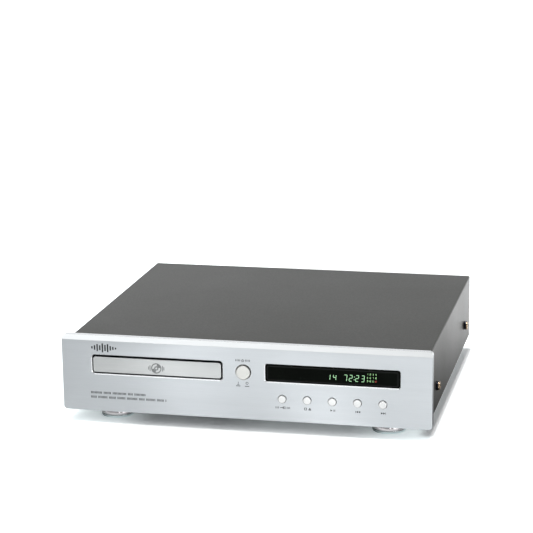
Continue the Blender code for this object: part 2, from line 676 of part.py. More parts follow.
Solid().turned(
    pulley_rim(MOTOR_PULLEY_R, MOTOR_PULLEY_GROOVE) + [(0, pulley_top)], "Z", MOTOR_AT, 14
).done("motor_pulley", BRASS, origin=(*MOTOR_AT, pulley_bottom), smooth=True)


def belt_line(extra):
    """The outline round both pulleys, at a distance outside their grooves."""
    steps = 32
    wheels = (
        (PULLEY_GEAR_AT, PULLEY_R - PULLEY_GROOVE + extra),
        (MOTOR_AT, MOTOR_PULLEY_R - MOTOR_PULLEY_GROOVE + extra),
    )
    points = []
    for i in range(steps):
        angle = 2 * math.pi * (i + 0.5) / steps
        dx, dy = math.cos(angle), math.sin(angle)
        # The wheel that reaches farthest this way carries the belt.
        centre, radius = max(
            wheels, key=lambda wheel: wheel[0][0] * dx + wheel[0][1] * dy + wheel[1]
        )
        points.append(polar(centre, radius, angle))
    return points


belt_zs = span((pulley_bottom + pulley_top) / 2, 0.5)
Solid().tube(belt_line(1.3), belt_line(0.25), "Z", belt_zs).done("drive_belt", BELT_RUBBER)

# Motor under the deck, its collar in the deck's hole and its shaft below the pulley.
deck_bottom, deck_top = DECK_ZS
Solid().turned(
    [
        (0, 17.0), (3.0, 17.0), (3.0, 18.0), (12.0, 18.0), (12.0, deck_bottom - GAP),
        (2.9, deck_bottom - GAP), (2.9, deck_top), (1.0, deck_top),
        (1.0, pulley_bottom - GAP), (0, pulley_bottom - GAP),
    ],
    "Z", MOTOR_AT, 20,
).done("loader_motor", STEEL, smooth=True)

# ---------------------------------------------------------------- lift frame
# The rotation lets the frame's front end down about the axis at its back.
lift = bpy.data.objects.new("lift_axis", None)
bpy.context.collection.objects.link(lift)
lift.location = world(*LIFT_ORIGIN)
lift.rotation_euler = (math.radians(LIFT_DROP_DEG), 0, 0)

lift_frame = Solid().box(span(TRAY_X, 46.0), (47.0, LIFT_AXIS_Y + 2), LIFT_ZS).done(
    "lift_frame", STEEL, origin=LIFT_ORIGIN, parent=lift
)
trunnions = Solid().rod("X", (LIFT_AXIS_Y, LIFT_AXIS_Z), 2.5, span(TRAY_X, 52.5), 16)
fuse(lift_frame, trunnions, "trunnions")
arms = Solid()
for _, side in SIDES:
    arms.box(
        span(TRAY_X + side * 45, 1.2), (LIFT_AXIS_Y - 5, LIFT_AXIS_Y + 2),
        (LIFT_AXIS_Z - 1, LIFT_BOTTOM + 1),
    )
fuse(lift_frame, arms, "trunnion_arms")
rod_blocks = Solid()
for _, side in SIDES:
    for block_ys in ((76.5, 81.0), (146.0, 151.0)):
        rod_blocks.box(span(TRAY_X + side * ROD_X, 3), block_ys, (LIFT_TOP - 0.5, 54.0))
fuse(lift_frame, rod_blocks, "rod_blocks")
fuse(lift_frame, Solid().rod("Z", SLED_GEAR_AT, 1.2, (LIFT_TOP - 1, 52.8), 12), "gear_pin")
lift_cuts = Solid()
lift_cuts.prism(rounded_rect(span(TRAY_X, 17.5), (83.8, 143.5), 2, 2), "Z", (40, 49))
lift_cuts.rod("Z", DISC_AT, 4.2, (40, 55), 12)
lift_cuts.rod("Z", SLED_MOTOR_AT, 2.5, (40, 55), 12)
for _, side in SIDES:
    lift_cuts.rod("Y", (TRAY_X + side * ROD_X, ROD_Z), ROD_R + GAP, (70, 155), 10)
cut(lift_frame, lift_cuts, "openings")

for side_name, side in SIDES:
    Solid().rod("Y", (TRAY_X + side * ROD_X, ROD_Z), ROD_R, (77.0, 150.5), 10).done(
        "sled_rod_" + side_name, STEEL, smooth=True, parent=lift
    )

Solid().turned(
    [
        (0, 34.5), (12.0, 34.5), (12.0, LIFT_BOTTOM - GAP), (3.4, LIFT_BOTTOM - GAP),
        (3.4, 50.0), (1.0, 50.0), (1.0, 60.0), (0, 60.0),
    ],
    "Z", DISC_AT, 20,
).done("spindle_motor", STEEL, origin=(*DISC_AT, LIFT_BOTTOM), smooth=True, parent=lift)

# Turntable: platter, centring cone, and a sleeve round the motor's shaft.
PLATTER_TOP = 63.3
Solid().turned(
    [
        (1.3, 51.0), (4.5, 51.0), (4.5, 60.6), (15.0, 60.6), (15.0, PLATTER_TOP),
        (7.45, PLATTER_TOP), (7.3, 64.6), (6.0, 66.2), (3.0, 66.2), (3.0, 61.2), (1.3, 61.2),
    ],
    "Z", DISC_AT, 20,
).done("turntable", GREY_PLASTIC, origin=(*DISC_AT, PLATTER_TOP), smooth=True, parent=lift)

# Sled: a carrier on two rods with its lens on top and the optics below.
LENS_AT = (TRAY_X, DISC_AT[1] + 24.0)
sled_front, sled_back = SLED_YS
laser_sled = Solid().box(span(TRAY_X, 26.2), SLED_YS, (49.0, 55.0)).done(
    "laser_sled", DARK_PLASTIC, origin=(TRAY_X, sled_front, ROD_Z), parent=lift
)
fuse(laser_sled, Solid().box(span(TRAY_X, 15.5), grow(SLED_YS, -1), (37.0, 50.0)), "optics")
fuse(laser_sled, Solid().rod("Z", LENS_AT, 5.0, (54.0, 58.2), 16), "lens_barrel")
fuse(laser_sled, Solid().rod("Z", LENS_AT, 3.0, (57.0, 59.2), 12), "lens")
sled_rack_x = TRAY_X + SLED_RACK_X
sled_rack = rack_outline(
    sled_rack_x, (sled_front - 3.0, sled_back + 14.0), sled_rack_x - 7.0, SLED_MODULE,
    tooth_side=1, gap_y=SLED_GEAR_AT[1],
)
fuse(laser_sled, Solid().prism(sled_rack, "Z", (50.9, 52.6)), "rack")
sled_bores = Solid()
for _, side in SIDES:
    sled_bores.rod("Y", (TRAY_X + side * ROD_X, ROD_Z), ROD_R + GAP, grow(SLED_YS, 5), 10)
cut(laser_sled, sled_bores, "rod_bores")

# Sled drive: a wheel with a pinion above it, and the motor with its own pinion.
SLED_BORE_ZS = (44, 56)
sled_gear = Solid().prism(
    gear_outline(SLED_GEAR_AT, SLED_WHEEL_TEETH, SLED_MODULE, phase=math.pi / 2),
    "Z", SLED_GEAR_ZS,
).done("sled_gear", WHITE_PLASTIC, origin=(*SLED_GEAR_AT, SLED_GEAR_ZS[0]), parent=lift)
pinion = gear_outline(SLED_GEAR_AT, SLED_PINION_TEETH, SLED_MODULE, phase=math.pi)
fuse(sled_gear, Solid().prism(pinion, "Z", (49.6, 52.8)), "pinion")
cut_bore(sled_gear, SLED_GEAR_AT, 1.5, SLED_BORE_ZS)

motor_phase = -math.pi / 2 + math.pi / SLED_MOTOR_TEETH
sled_pinion = Solid().prism(
    gear_outline(SLED_MOTOR_AT, SLED_MOTOR_TEETH, SLED_MODULE, motor_phase), "Z", SLED_GEAR_ZS
).done("sled_pinion", BRASS, origin=(*SLED_MOTOR_AT, SLED_GEAR_ZS[0]), parent=lift)
cut_bore(sled_pinion, SLED_MOTOR_AT, 1.05, SLED_BORE_ZS)
Solid().turned(
    [
        (0, 35.0), (8.0, 35.0), (8.0, LIFT_BOTTOM - GAP), (2.0, LIFT_BOTTOM - GAP),
        (2.0, LIFT_TOP), (0.75, LIFT_TOP), (0.75, 50.6), (0, 50.6),
    ],
    "Z", SLED_MOTOR_AT, 16,
).done("sled_motor", STEEL, smooth=True, parent=lift)


# ---------------------------------------------------------------- electronics
def circuit_board(name, xs, ys, components, label):
    """A board with a block for each (centre x, centre y, size x, size y, height)."""
    board = Solid().box(xs, ys, (BOARD_Z, BOARD_TOP)).done(name, BOARD_GREEN)
    blocks = Solid()
    for x, y, size_x, size_y, height in components:
        blocks.box(span(x, size_x / 2), span(y, size_y / 2), (BOARD_TOP - 0.5, BOARD_TOP + height))
    fuse(board, blocks, label)


chips = (
    (-150, 262, 30, 30, 3.0), (-92, 260, 22, 22, 2.6), (-40, 262, 26, 14, 4.0),
    (-150, 318, 18, 10, 3.0), (-112, 318, 18, 10, 3.0), (-60, 318, 24, 18, 8.0),
    (-20, 310, 14, 26, 6.0),
)
rectifiers = ((60, 315, 30, 20, 12.0), (170, 315, 20, 30, 14.0), (50, 215, 20, 12, 10.0))
circuit_board("main_board", MAIN_BOARD_XS, MAIN_BOARD_YS, chips, "chips")
circuit_board("power_board", POWER_BOARD_XS, POWER_BOARD_YS, rectifiers, "rectifiers")

capacitor_profile = [   # (radius, z)
    (0, BOARD_TOP + GAP), (12.0, BOARD_TOP + GAP), (12.5, BOARD_TOP + 1.0),
    (12.5, BOARD_TOP + 33.0), (11.6, BOARD_TOP + 34.5), (0, BOARD_TOP + 34.5),
]
for side_name, x in (("left", 92.0), ("right", 124.0)):
    Solid().turned(capacitor_profile, "Z", (x, 262.0), 20).done(
        "reservoir_capacitor_" + side_name, CAN_BLACK, smooth=True
    )

# Heatsink: upright fins on a common base.
SINK_LEFT, SINK_RIGHT = 40.0, 176.0
FIN_COUNT, FIN_T, FIN_ROOT, FIN_TOP = 12, 2.4, 22.0, 58.0
fin_pitch_total = SINK_RIGHT - SINK_LEFT - FIN_T
fin_edges = [SINK_RIGHT - i * fin_pitch_total / (FIN_COUNT - 1) for i in range(FIN_COUNT)]
comb = [(SINK_LEFT, BOARD_TOP + GAP), (SINK_RIGHT, BOARD_TOP + GAP)]
for edge, next_edge in zip(fin_edges, fin_edges[1:]):
    comb += [
        (edge, FIN_TOP), (edge - FIN_T, FIN_TOP), (edge - FIN_T, FIN_ROOT), (next_edge, FIN_ROOT)
    ]
comb += [(fin_edges[-1], FIN_TOP), (fin_edges[-1] - FIN_T, FIN_TOP)]
Solid().prism(comb, "Y", (292.0, 300.0)).done("heatsink", SINK_BLACK)

# Ring-core transformer held by a flat washer and one bolt.
CORE_AT = (118.0, 110.0)
Solid().turned(
    [
        (15.0, 12.5), (18.0, 9.2), (38.0, 9.2), (43.0, 13.0), (44.5, 20.0), (44.5, 38.0),
        (43.0, 45.0), (38.0, 48.8), (18.0, 48.8), (15.0, 45.5),
    ],
    "Z", CORE_AT, 24,
).done("mains_transformer", COPPER, smooth=True)
Solid().turned(
    [(3.2, 49.2), (30.0, 49.2), (30.0, 50.4), (3.2, 50.4)], "Z", CORE_AT, 20
).done("transformer_washer", STEEL, smooth=True)
Solid().turned(
    [
        (0, FLOOR_TOP + 0.4), (2.6, FLOOR_TOP + 0.4), (2.6, 50.7),
        (6.0, 50.7), (6.0, 54.6), (0, 54.6),
    ],
    "Z", CORE_AT, 12,
).done("transformer_bolt", STEEL, smooth=True)

# ---------------------------------------------------------------- rear sockets
BARREL_R, BARREL_BORE_R = 4.2, 3.3
barrel_profile = [   # (radius, y)
    (0, CASE_BACK - 6), (BARREL_R, CASE_BACK - 6), (BARREL_R, CASE_BACK + SOCKET_PROUD),
    (BARREL_BORE_R, CASE_BACK + SOCKET_PROUD), (BARREL_BORE_R, CASE_BACK), (0, CASE_BACK),
]


def socket_block(name, x, half_width):
    """The body of a group of sockets, just inside the rear plate."""
    back = CASE_BACK - SHEET - GAP
    return Solid().box(span(x, half_width), (back - 10, back), span(SOCKET_Z, 8)).done(
        name, DARK_PLASTIC
    )


audio_sockets = socket_block("audio_sockets", AUDIO_X, 22)
barrels = Solid()
for x in AUDIO_PORT_XS:
    barrels.turned(barrel_profile, "Y", (x, SOCKET_Z), 16)
fuse(audio_sockets, barrels, "barrels")

digital_sockets = socket_block("digital_sockets", DIGITAL_X, 18)
ports = Solid()
ports.turned(barrel_profile, "Y", (ROUND_PORT_X, SOCKET_Z), 16)
ports.box(span(SQUARE_PORT_X, 5), (CASE_BACK - 6, CASE_BACK + 1.5), span(SOCKET_Z, 5))
fuse(digital_sockets, ports, "ports")
optical_mouth = Solid().box(
    span(SQUARE_PORT_X, 3), (CASE_BACK - 3, CASE_BACK + 4), span(SOCKET_Z, 3)
)
cut(digital_sockets, optical_mouth, "optical_mouth")

# Mains inlet: a flange outside the plate, a hollow body through it, three blades.
mains_inlet = Solid().box(
    span(INLET_X, 25), (CASE_BACK + GAP, CASE_BACK + 3.0), span(SOCKET_Z, 14)
).done("mains_inlet", DARK_PLASTIC)
inlet_body = Solid().box(
    span(INLET_X, 14), (CASE_BACK - 22, CASE_BACK + 1.5), span(SOCKET_Z, 10)
)
fuse(mains_inlet, inlet_body, "body")
# (x, z) from the inlet's centre
mouth = ((-12, -8), (12, -8), (12, 3), (7, 8), (-7, 8), (-12, 3))
mouth_outline = [(INLET_X + dx, SOCKET_Z + dz) for dx, dz in mouth]
cut(mains_inlet, Solid().prism(mouth_outline, "Y", (CASE_BACK - 15, CASE_BACK + 6)), "mouth")
blades = Solid()
for dx, dz in ((-7, -1), (0, 3), (7, -1)):
    blades.box(
        span(INLET_X + dx, 1), (CASE_BACK - 17, CASE_BACK - 1), span(SOCKET_Z + dz, 2)
    )
fuse(mains_inlet, blades, "blades")


# ---------------------------------------------------------------- ribbon cable
def strip(path, thickness):
    """The section of a flat cable along a polyline in (y, z)."""
    half = thickness / 2
    upper, lower = [], []
    for i, (y, z) in enumerate(path):
        before = path[max(i - 1, 0)]
        after = path[min(i + 1, len(path) - 1)]
        along = Vector((after[0] - before[0], after[1] - before[1])).normalized()
        upper.append((y - along.y * half, z + along.x * half))
        lower.append((y + along.y * half, z - along.x * half))
    return lower + upper[::-1]


# From the control board, down and back to the main board: (y, z).
ribbon_path = [
    (16.4, 40.0), (18.0, 30.0), (21.0, 22.5), (27.0, 19.0), (40.0, 17.6), (150.0, 17.6),
    (205.0, 17.6), (215.0, 19.5), (228.0, 21.0), (240.0, 20.0), (246.0, 17.0),
]
Solid().prism(strip(ribbon_path, 0.8), "X", (-14.0, 0.0)).done("ribbon_cable", CABLE_GREY)
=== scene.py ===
"""Looks for the compact disc player: visible pieces, procedural finishes, studio and camera.

The player faces -y and stands on the floor at z = 0. Lengths are in millimetres in the front
panel's own frame: x to the right from its middle, y from its front face to the back, z up from
its lower edge. point() turns them into metres. Materials, floor and lights use world metres.
"""
import json
import math
from collections import namedtuple

import bmesh
import bpy
from mathutils import Matrix, Vector


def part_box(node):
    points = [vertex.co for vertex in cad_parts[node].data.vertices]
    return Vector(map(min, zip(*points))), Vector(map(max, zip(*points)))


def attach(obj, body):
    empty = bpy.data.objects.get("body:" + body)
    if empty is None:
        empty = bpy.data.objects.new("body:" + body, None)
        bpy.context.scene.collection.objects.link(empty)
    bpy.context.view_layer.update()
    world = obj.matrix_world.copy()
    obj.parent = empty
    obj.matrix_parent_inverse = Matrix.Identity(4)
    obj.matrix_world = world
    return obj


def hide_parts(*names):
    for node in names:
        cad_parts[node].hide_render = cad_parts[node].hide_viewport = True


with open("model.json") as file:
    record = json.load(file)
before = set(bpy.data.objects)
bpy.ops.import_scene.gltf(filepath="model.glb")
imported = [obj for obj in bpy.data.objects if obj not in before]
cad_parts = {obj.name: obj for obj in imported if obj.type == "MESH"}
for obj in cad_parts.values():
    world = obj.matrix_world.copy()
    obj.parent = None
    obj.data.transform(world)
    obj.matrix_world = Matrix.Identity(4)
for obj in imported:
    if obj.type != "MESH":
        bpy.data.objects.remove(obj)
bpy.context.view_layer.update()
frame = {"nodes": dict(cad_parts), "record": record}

NODES = frame["nodes"]
scene = bpy.context.scene

# ------------------------------------------------------------------ frame of reference
MM = 0.001
panel_low, panel_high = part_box("front_panel")
ORIGIN = ((panel_low.x + panel_high.x) / 2, panel_low.y, panel_low.z)


class Box(namedtuple("Box", "left front bottom right back top")):
    """Extent of a piece in panel millimetres."""

    @property
    def mid_x(self):
        return (self.left + self.right) / 2

    @property
    def mid_y(self):
        return (self.front + self.back) / 2

    @property
    def mid_z(self):
        return (self.bottom + self.top) / 2


def point(x, y, z):
    """World position of a point in panel millimetres."""
    return Vector((ORIGIN[0] + x * MM, ORIGIN[1] + y * MM, ORIGIN[2] + z * MM))


def in_panel(position):
    """Panel millimetres of a world position."""
    return (position - point(0, 0, 0)) / MM


def panel_box(node):
    return Box(*((c - o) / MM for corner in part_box(node) for c, o in zip(corner, ORIGIN)))


PANEL = panel_box("front_panel")
HALF_WIDTH = PANEL.right
DOOR = panel_box("tray_door")
WINDOW = panel_box("display_window")
POWER = panel_box("power_button")
COVER = panel_box("top_cover")
TRAY_X = DOOR.mid_x
KEYS = ("key_source", "key_stop", "key_play", "key_back", "key_forward")
KEY_BOX = {key: panel_box(key) for key in KEYS}

CHAMFER_HEIGHT, CHAMFER_DEPTH = 5.6, 3.5  # along the plate's top front edge
MARK_Y = -0.02  # printed marks stand this far in front of the plate
FLANGE_Y = 10.5  # front of the flange on every key, behind the plate


# ------------------------------------------------------------------ outlines
# Flat outlines are counter-clockwise lists of points.
def rounded_rect(left, right, low, high, radius, steps=8):
    corners = (
        (right - radius, low + radius, -90), (right - radius, high - radius, 0),
        (left + radius, high - radius, 90), (left + radius, low + radius, 180),
    )
    out = []
    for x, y, start in corners:
        for i in range(steps + 1):
            angle = math.radians(start + 90 * i / steps)
            out.append((x + radius * math.cos(angle), y + radius * math.sin(angle)))
    return out


def inset_rect(left, right, low, high, radius, steps):
    """A function that gives the rounded rectangle drawn in by an inset."""
    return lambda inset: rounded_rect(
        left + inset, right - inset, low + inset, high - inset, max(radius - inset, 0.3), steps)


def circle(x, y, radius, steps=64):
    angles = [2 * math.pi * i / steps for i in range(steps)]
    return [(x + radius * math.cos(a), y + radius * math.sin(a)) for a in angles]


def quarter_arc(radius, steps):
    angles = [math.radians(90 * i / steps) for i in range(steps + 1)]
    return [(radius * math.cos(a), radius * math.sin(a)) for a in angles]


def eased_front(front, radius, angles=(0, 22.5, 45, 67.5, 90)):
    """(height, inset) levels of a rounded front edge."""
    return [
        (front + radius * (1 - math.cos(math.radians(a))), radius * (1 - math.sin(math.radians(a))))
        for a in angles
    ]


def eased_ends(low, high, ease):
    """(height, inset) levels of a slab with both end edges broken."""
    return [(low, ease), (low + ease, 0.0), (high - ease, 0.0), (high, ease)]


# ------------------------------------------------------------------ mesh tools
def lift(outline, axis, height):
    """Outline set across an axis; its points are (y, z) for X, (x, z) for Y, (x, y) for Z."""
    place = {
        "X": lambda first, second: (height, first, second),
        "Y": lambda first, second: (first, height, second),
        "Z": lambda first, second: (first, second, height),
    }[axis]
    return [place(*flat) for flat in outline]


def slab(axis, outline_of, levels):
    """Rings of a slab; levels are (height along the axis, value given to outline_of)."""
    return [lift(outline_of(value), axis, height) for height, value in levels]


def prism(axis, outline, low, high):
    return [lift(outline, axis, low), lift(outline, axis, high)]


def block(x0, x1, y0, y1, z0, z1):
    return prism("Z", [(x0, y0), (x1, y0), (x1, y1), (x0, y1)], z0, z1)


def add_loft(build, rings, looped=False):
    """Skin between rings; the ends are capped, or joined to each other when looped."""
    made = [[build.verts.new(point(*p)) for p in ring] for ring in rings]
    count = len(made[0])
    pairs = list(zip(made, made[1:]))
    if looped:
        pairs.append((made[-1], made[0]))
    for a, b in pairs:
        for i in range(count):
            j = (i + 1) % count
            build.faces.new((a[i], a[j], b[j], b[i]))
    if not looped:
        build.faces.new(made[0])
        build.faces.new(made[-1][::-1])


def smooth(obj, angle=32):
    obj.data.shade_smooth()
    obj.data.set_sharp_from_angle(angle=math.radians(angle))
    return obj


def to_object(name, build, angle=32):
    bmesh.ops.remove_doubles(build, verts=build.verts, dist=1e-7)
    bmesh.ops.recalc_face_normals(build, faces=build.faces)
    mesh = bpy.data.meshes.new(name)
    build.to_mesh(mesh)
    build.free()
    obj = bpy.data.objects.new(name, mesh)
    scene.collection.objects.link(obj)
    return smooth(obj, angle)


def lofted(name, *lofts):
    """One object made of several capped lofts."""
    build = bmesh.new()
    for rings in lofts:
        add_loft(build, rings)
    return to_object(name, build)


def turned(name, axis, centre, profile, steps=64, angle=32):
    """Solid of revolution; profile is (radius, height) from axis to axis, or a closed section."""
    build = bmesh.new()
    rows = []
    for radius, height in profile:
        outline = [centre] if radius < 1e-6 else circle(*centre, radius, steps)
        rows.append([build.verts.new(point(*p)) for p in lift(outline, axis, height)])
    pairs = list(zip(rows, rows[1:]))
    if len(rows[0]) > 1:
        pairs.append((rows[-1], rows[0]))
    for a, b in pairs:
        for i in range(steps):
            j = (i + 1) % steps
            corners = []
            for vert in (a[i % len(a)], a[j % len(a)], b[j % len(b)], b[i % len(b)]):
                if vert not in corners:
                    corners.append(vert)
            if len(corners) > 2:
                build.faces.new(corners)
    return to_object(name, build, angle)


def boolean(obj, *others, operation="DIFFERENCE"):
    """Apply the others to the object and delete them."""
    for other in others:
        modifier = obj.modifiers.new("b", "BOOLEAN")
        modifier.operation = operation
        modifier.solver = "EXACT"
        modifier.object = other
    graph = bpy.context.evaluated_depsgraph_get()
    mesh = bpy.data.meshes.new_from_object(obj.evaluated_get(graph))
    obj.modifiers.clear()
    old = obj.data
    obj.data = mesh
    bpy.data.meshes.remove(old)
    for other in others:
        bpy.data.objects.remove(other, do_unlink=True)


def tidy(obj, angle=32):
    """Merge what Booleans leave behind and shade."""
    build = bmesh.new()
    build.from_mesh(obj.data)
    bmesh.ops.remove_doubles(build, verts=build.verts, dist=2e-6)
    bmesh.ops.dissolve_degenerate(build, edges=build.edges, dist=1e-6)
    bmesh.ops.dissolve_limit(
        build, angle_limit=math.radians(0.3), verts=build.verts, edges=build.edges)
    build.to_mesh(obj.data)
    build.free()
    smooth(obj, angle)


def finish_piece(obj, body, material, replaces=None):
    obj.data.materials.clear()
    obj.data.materials.append(material)
    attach(obj, body)
    if replaces:
        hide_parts(replaces)


# ------------------------------------------------------------------ shader tools
class Graph:
    """Short ways to add nodes to a tree; most return the new node's output socket."""

    def __init__(self, tree):
        self.tree = tree

    def feed(self, socket, value):
        if isinstance(value, bpy.types.NodeSocket):
            self.tree.links.new(value, socket)
        elif isinstance(value, tuple) and socket.type == "RGBA":
            socket.default_value = (*value, 1.0)
        else:
            socket.default_value = value

    def add(self, kind, inputs, **settings):
        node = self.tree.nodes.new(kind)
        for key, value in settings.items():
            setattr(node, key, value)
        for key, value in inputs.items():
            self.feed(node.inputs[key], value)
        return node

    def math(self, operation, *values):
        return self.add("ShaderNodeMath", dict(enumerate(values)), operation=operation).outputs[0]

    def plus(self, a, b):
        return self.math("ADD", a, b)

    def minus(self, a, b):
        return self.math("SUBTRACT", a, b)

    def times(self, a, b):
        return self.math("MULTIPLY", a, b)

    def times_plus(self, value, factor, offset):
        return self.math("MULTIPLY_ADD", value, factor, offset)

    def ramp(self, value, low, high, at_low=0.0, at_high=1.0, **settings):
        inputs = {"From Min": low, "From Max": high, "To Min": at_low, "To Max": at_high,
                  "Value": value}
        return self.add("ShaderNodeMapRange", inputs, **settings).outputs["Result"]

    def step(self, value, low, high, at_low=0.0, at_high=1.0):
        return self.ramp(value, low, high, at_low, at_high, interpolation_type="SMOOTHSTEP")

    def axes(self, source):
        coord = self.tree.nodes.new("ShaderNodeTexCoord")
        return self.add("ShaderNodeSeparateXYZ", {0: coord.outputs[source]}).outputs


class Material(Graph):
    def __init__(self, name):
        self.material = bpy.data.materials.new(name)
        self.material.use_nodes = True
        super().__init__(self.material.node_tree)
        self.bsdf = self.tree.nodes["Principled BSDF"]

    def position(self):
        return self.tree.nodes.new("ShaderNodeTexCoord").outputs["Object"]

    def noise(self, scale, detail=2.0, rough=0.5, stretch=(1, 1, 1), offset=(0, 0, 0), vector=None):
        if vector is None:
            mapping = {"Scale": stretch, "Location": offset, "Vector": self.position()}
            vector = self.add("ShaderNodeMapping", mapping).outputs["Vector"]
        inputs = {"Scale": scale, "Detail": detail, "Roughness": rough, "Vector": vector}
        return self.add("ShaderNodeTexNoise", inputs).outputs["Fac"]

    def mix(self, factor, a, b, blend="MIX"):
        inputs = {6: a, 7: b, 0: factor}
        return self.add("ShaderNodeMix", inputs, data_type="RGBA", blend_type=blend).outputs[2]

    def bump(self, height, strength, distance):
        inputs = {"Strength": strength, "Distance": distance, "Height": height}
        return self.add("ShaderNodeBump", inputs).outputs["Normal"]

    def set(self, **values):
        """Feed the Principled inputs; underscores stand for spaces."""
        for key, value in values.items():
            self.feed(self.bsdf.inputs[key.replace("_", " ")], value)
        return self.material


# ------------------------------------------------------------------ finishes
def brushed(name, light, dark, rough, along=(12.0, 900.0, 900.0), aniso=0.5, bump=0.05):
    """Metal with grain drawn out along x."""
    mat = Material(name)
    fine = mat.noise(scale=4.0, detail=4.0, rough=0.65, stretch=along)
    broad = mat.noise(scale=3.0, stretch=(2.0, 60.0, 60.0), offset=(3.1, 0, 0))
    grain = mat.times_plus(broad, 0.35, fine)
    tangent = mat.add("ShaderNodeCombineXYZ", {0: 0.0, 1: 0.7, 2: 0.7}).outputs[0]
    return mat.set(
        Base_Color=mat.mix(mat.ramp(grain, 0.45, 0.95), dark, light),
        Metallic=1.0,
        Roughness=mat.ramp(fine, 0.3, 0.7, rough * 0.85, rough * 1.15),
        Anisotropic=aniso,
        Tangent=tangent,
        Normal=mat.bump(fine, strength=bump, distance=0.00002),
    )


def foot_tarnish(mat, colour, foot_x):
    """Painted shade on a foot: the warm grey bulge is painted darker than the cool base band, and both
    are painted dark towards the foot's left side, where it mirrors the shade under the case.
    """
    x, y, z = mat.axes("Object")
    base_band = mat.step(z, 0.0034, 0.0030)
    off = mat.minus(x, foot_x * MM)
    bulge = mat.mix(mat.step(off, -0.019, -0.012), (0.30, 0.30, 0.29), (0.70, 0.665, 0.675))
    base = mat.mix(mat.step(off, -0.0195, -0.001), (0.13, 0.15, 0.155), (0.92, 1.0, 1.0))
    return mat.mix(1.0, colour, mat.mix(base_band, bulge, base), blend="MULTIPLY")


def lathe_metal(name, light, dark, rough, centre, axis, pitch, bump, foot_x=None):
    """Fine concentric tool marks about an axis through centre; pitch is in metres."""
    mat = Material(name)
    arm = mat.add("ShaderNodeVectorMath", {0: mat.position(), 1: centre}, operation="SUBTRACT")
    across = {"Y": (1, 0, 1), "Z": (1, 1, 0)}[axis]
    radial = mat.add("ShaderNodeVectorMath", {0: arm.outputs[0], 1: across}, operation="MULTIPLY")
    radius = mat.add("ShaderNodeVectorMath", {0: radial.outputs[0]}, operation="LENGTH")
    marks = mat.times(radius.outputs["Value"], 1.0 / pitch)
    vector = mat.add("ShaderNodeCombineXYZ", {0: marks}).outputs[0]
    lines = mat.noise(scale=1.0, rough=0.6, vector=vector)
    cloud = mat.noise(scale=1.0, stretch=(90, 90, 90))
    colour = mat.mix(mat.ramp(lines, 0.35, 0.65), dark, light)
    # On a foot, painted shade goes over the tool marks: a darker bulge and a dark left side.
    if foot_x is not None:
        colour = foot_tarnish(mat, colour, foot_x)
    return mat.set(
        Base_Color=colour,
        Metallic=1.0,
        Roughness=mat.ramp(cloud, 0.3, 0.7, rough * 0.85, rough * 1.2),
        Normal=mat.bump(lines, strength=bump, distance=0.00003),
    )


def screw_metal(name, barrel, rim, reach):
    """Blackened head with a painted bronze highlight from 'reach' mm off the side sheet outwards."""
    mat = Material(name)
    mottle = mat.noise(scale=900.0, detail=3.0, rough=0.6)
    away = mat.times_plus(mottle, 0.0005, mat.math("ABSOLUTE", mat.axes("Object")[0]))
    edge = (COVER.right + reach) * MM
    dark = mat.mix(mat.ramp(mottle, 0.3, 0.7), tuple(c * 0.7 for c in barrel), barrel)
    # The head is painted bronze from 'reach' mm off the sheet outwards, as a highlight.
    return mat.set(
        Base_Color=mat.mix(mat.step(away, edge, edge + 0.0006), dark, rim),
        Metallic=1.0,
        Roughness=mat.ramp(mottle, 0.3, 0.7, 0.16, 0.30),
    )


def powder(name, base, lift, rough, bump=0.35, spec=0.5):
    """Powder coat: fine pores, lighter specks and faint broad patches."""
    mat = Material(name)
    grain = 1400.0
    pores = mat.noise(scale=grain, rough=0.6)
    patch = mat.noise(scale=9.0, detail=3.0, offset=(1.7, 0.3, 0.2))
    speck = mat.noise(scale=grain * 0.45, detail=3.0, rough=0.7, offset=(5.0, 0, 0))
    colour = mat.mix(mat.ramp(speck, 0.42, 0.60), base, lift)
    return mat.set(
        Base_Color=mat.mix(mat.ramp(patch, 0.35, 0.65, 0.0, 0.25), colour, lift),
        Roughness=mat.ramp(patch, 0.3, 0.7, rough * 0.93, rough * 1.07),
        Specular_IOR_Level=spec,
        Normal=mat.bump(pores, strength=bump, distance=0.00006),
    )


def plastic(name, base, rough, grain=2200.0, bump=0.12, vary=0.12, spec=0.5):
    """Moulded surface; vary is the spread of its cloudy tone."""
    mat = Material(name)
    fine = mat.noise(scale=grain)
    cloud = mat.noise(scale=35.0, offset=(2, 1, 0))
    deep = tuple(c * (1 - vary) for c in base)
    pale = tuple(min(1.0, c * (1 + vary)) for c in base)
    return mat.set(
        Base_Color=mat.mix(mat.ramp(cloud, 0.3, 0.7), deep, pale),
        Roughness=mat.ramp(fine, 0.3, 0.7, rough * 0.9, rough * 1.1),
        Specular_IOR_Level=spec,
        Normal=mat.bump(fine, strength=bump, distance=0.00003),
    )


def glow(name, colour, strength):
    """Lit phosphor with a fine grain."""
    mat = Material(name)
    grain = mat.noise(scale=5200.0, detail=1.0)
    return mat.set(
        Base_Color=(0.01, 0.02, 0.015),
        Roughness=0.4,
        Emission_Color=mat.mix(mat.ramp(grain, 0.3, 0.7), tuple(c * 0.8 for c in colour), colour),
        Emission_Strength=strength,
    )


def ink(name, colour):
    """Print, slightly worn."""
    mat = Material(name)
    wear = mat.noise(scale=900.0, detail=3.0, rough=0.6)
    worn = tuple(min(1, c * 1.5) for c in colour)
    return mat.set(
        Base_Color=mat.mix(mat.ramp(wear, 0.35, 0.7), colour, worn),
        Roughness=0.6,
        Specular_IOR_Level=0.3,
    )


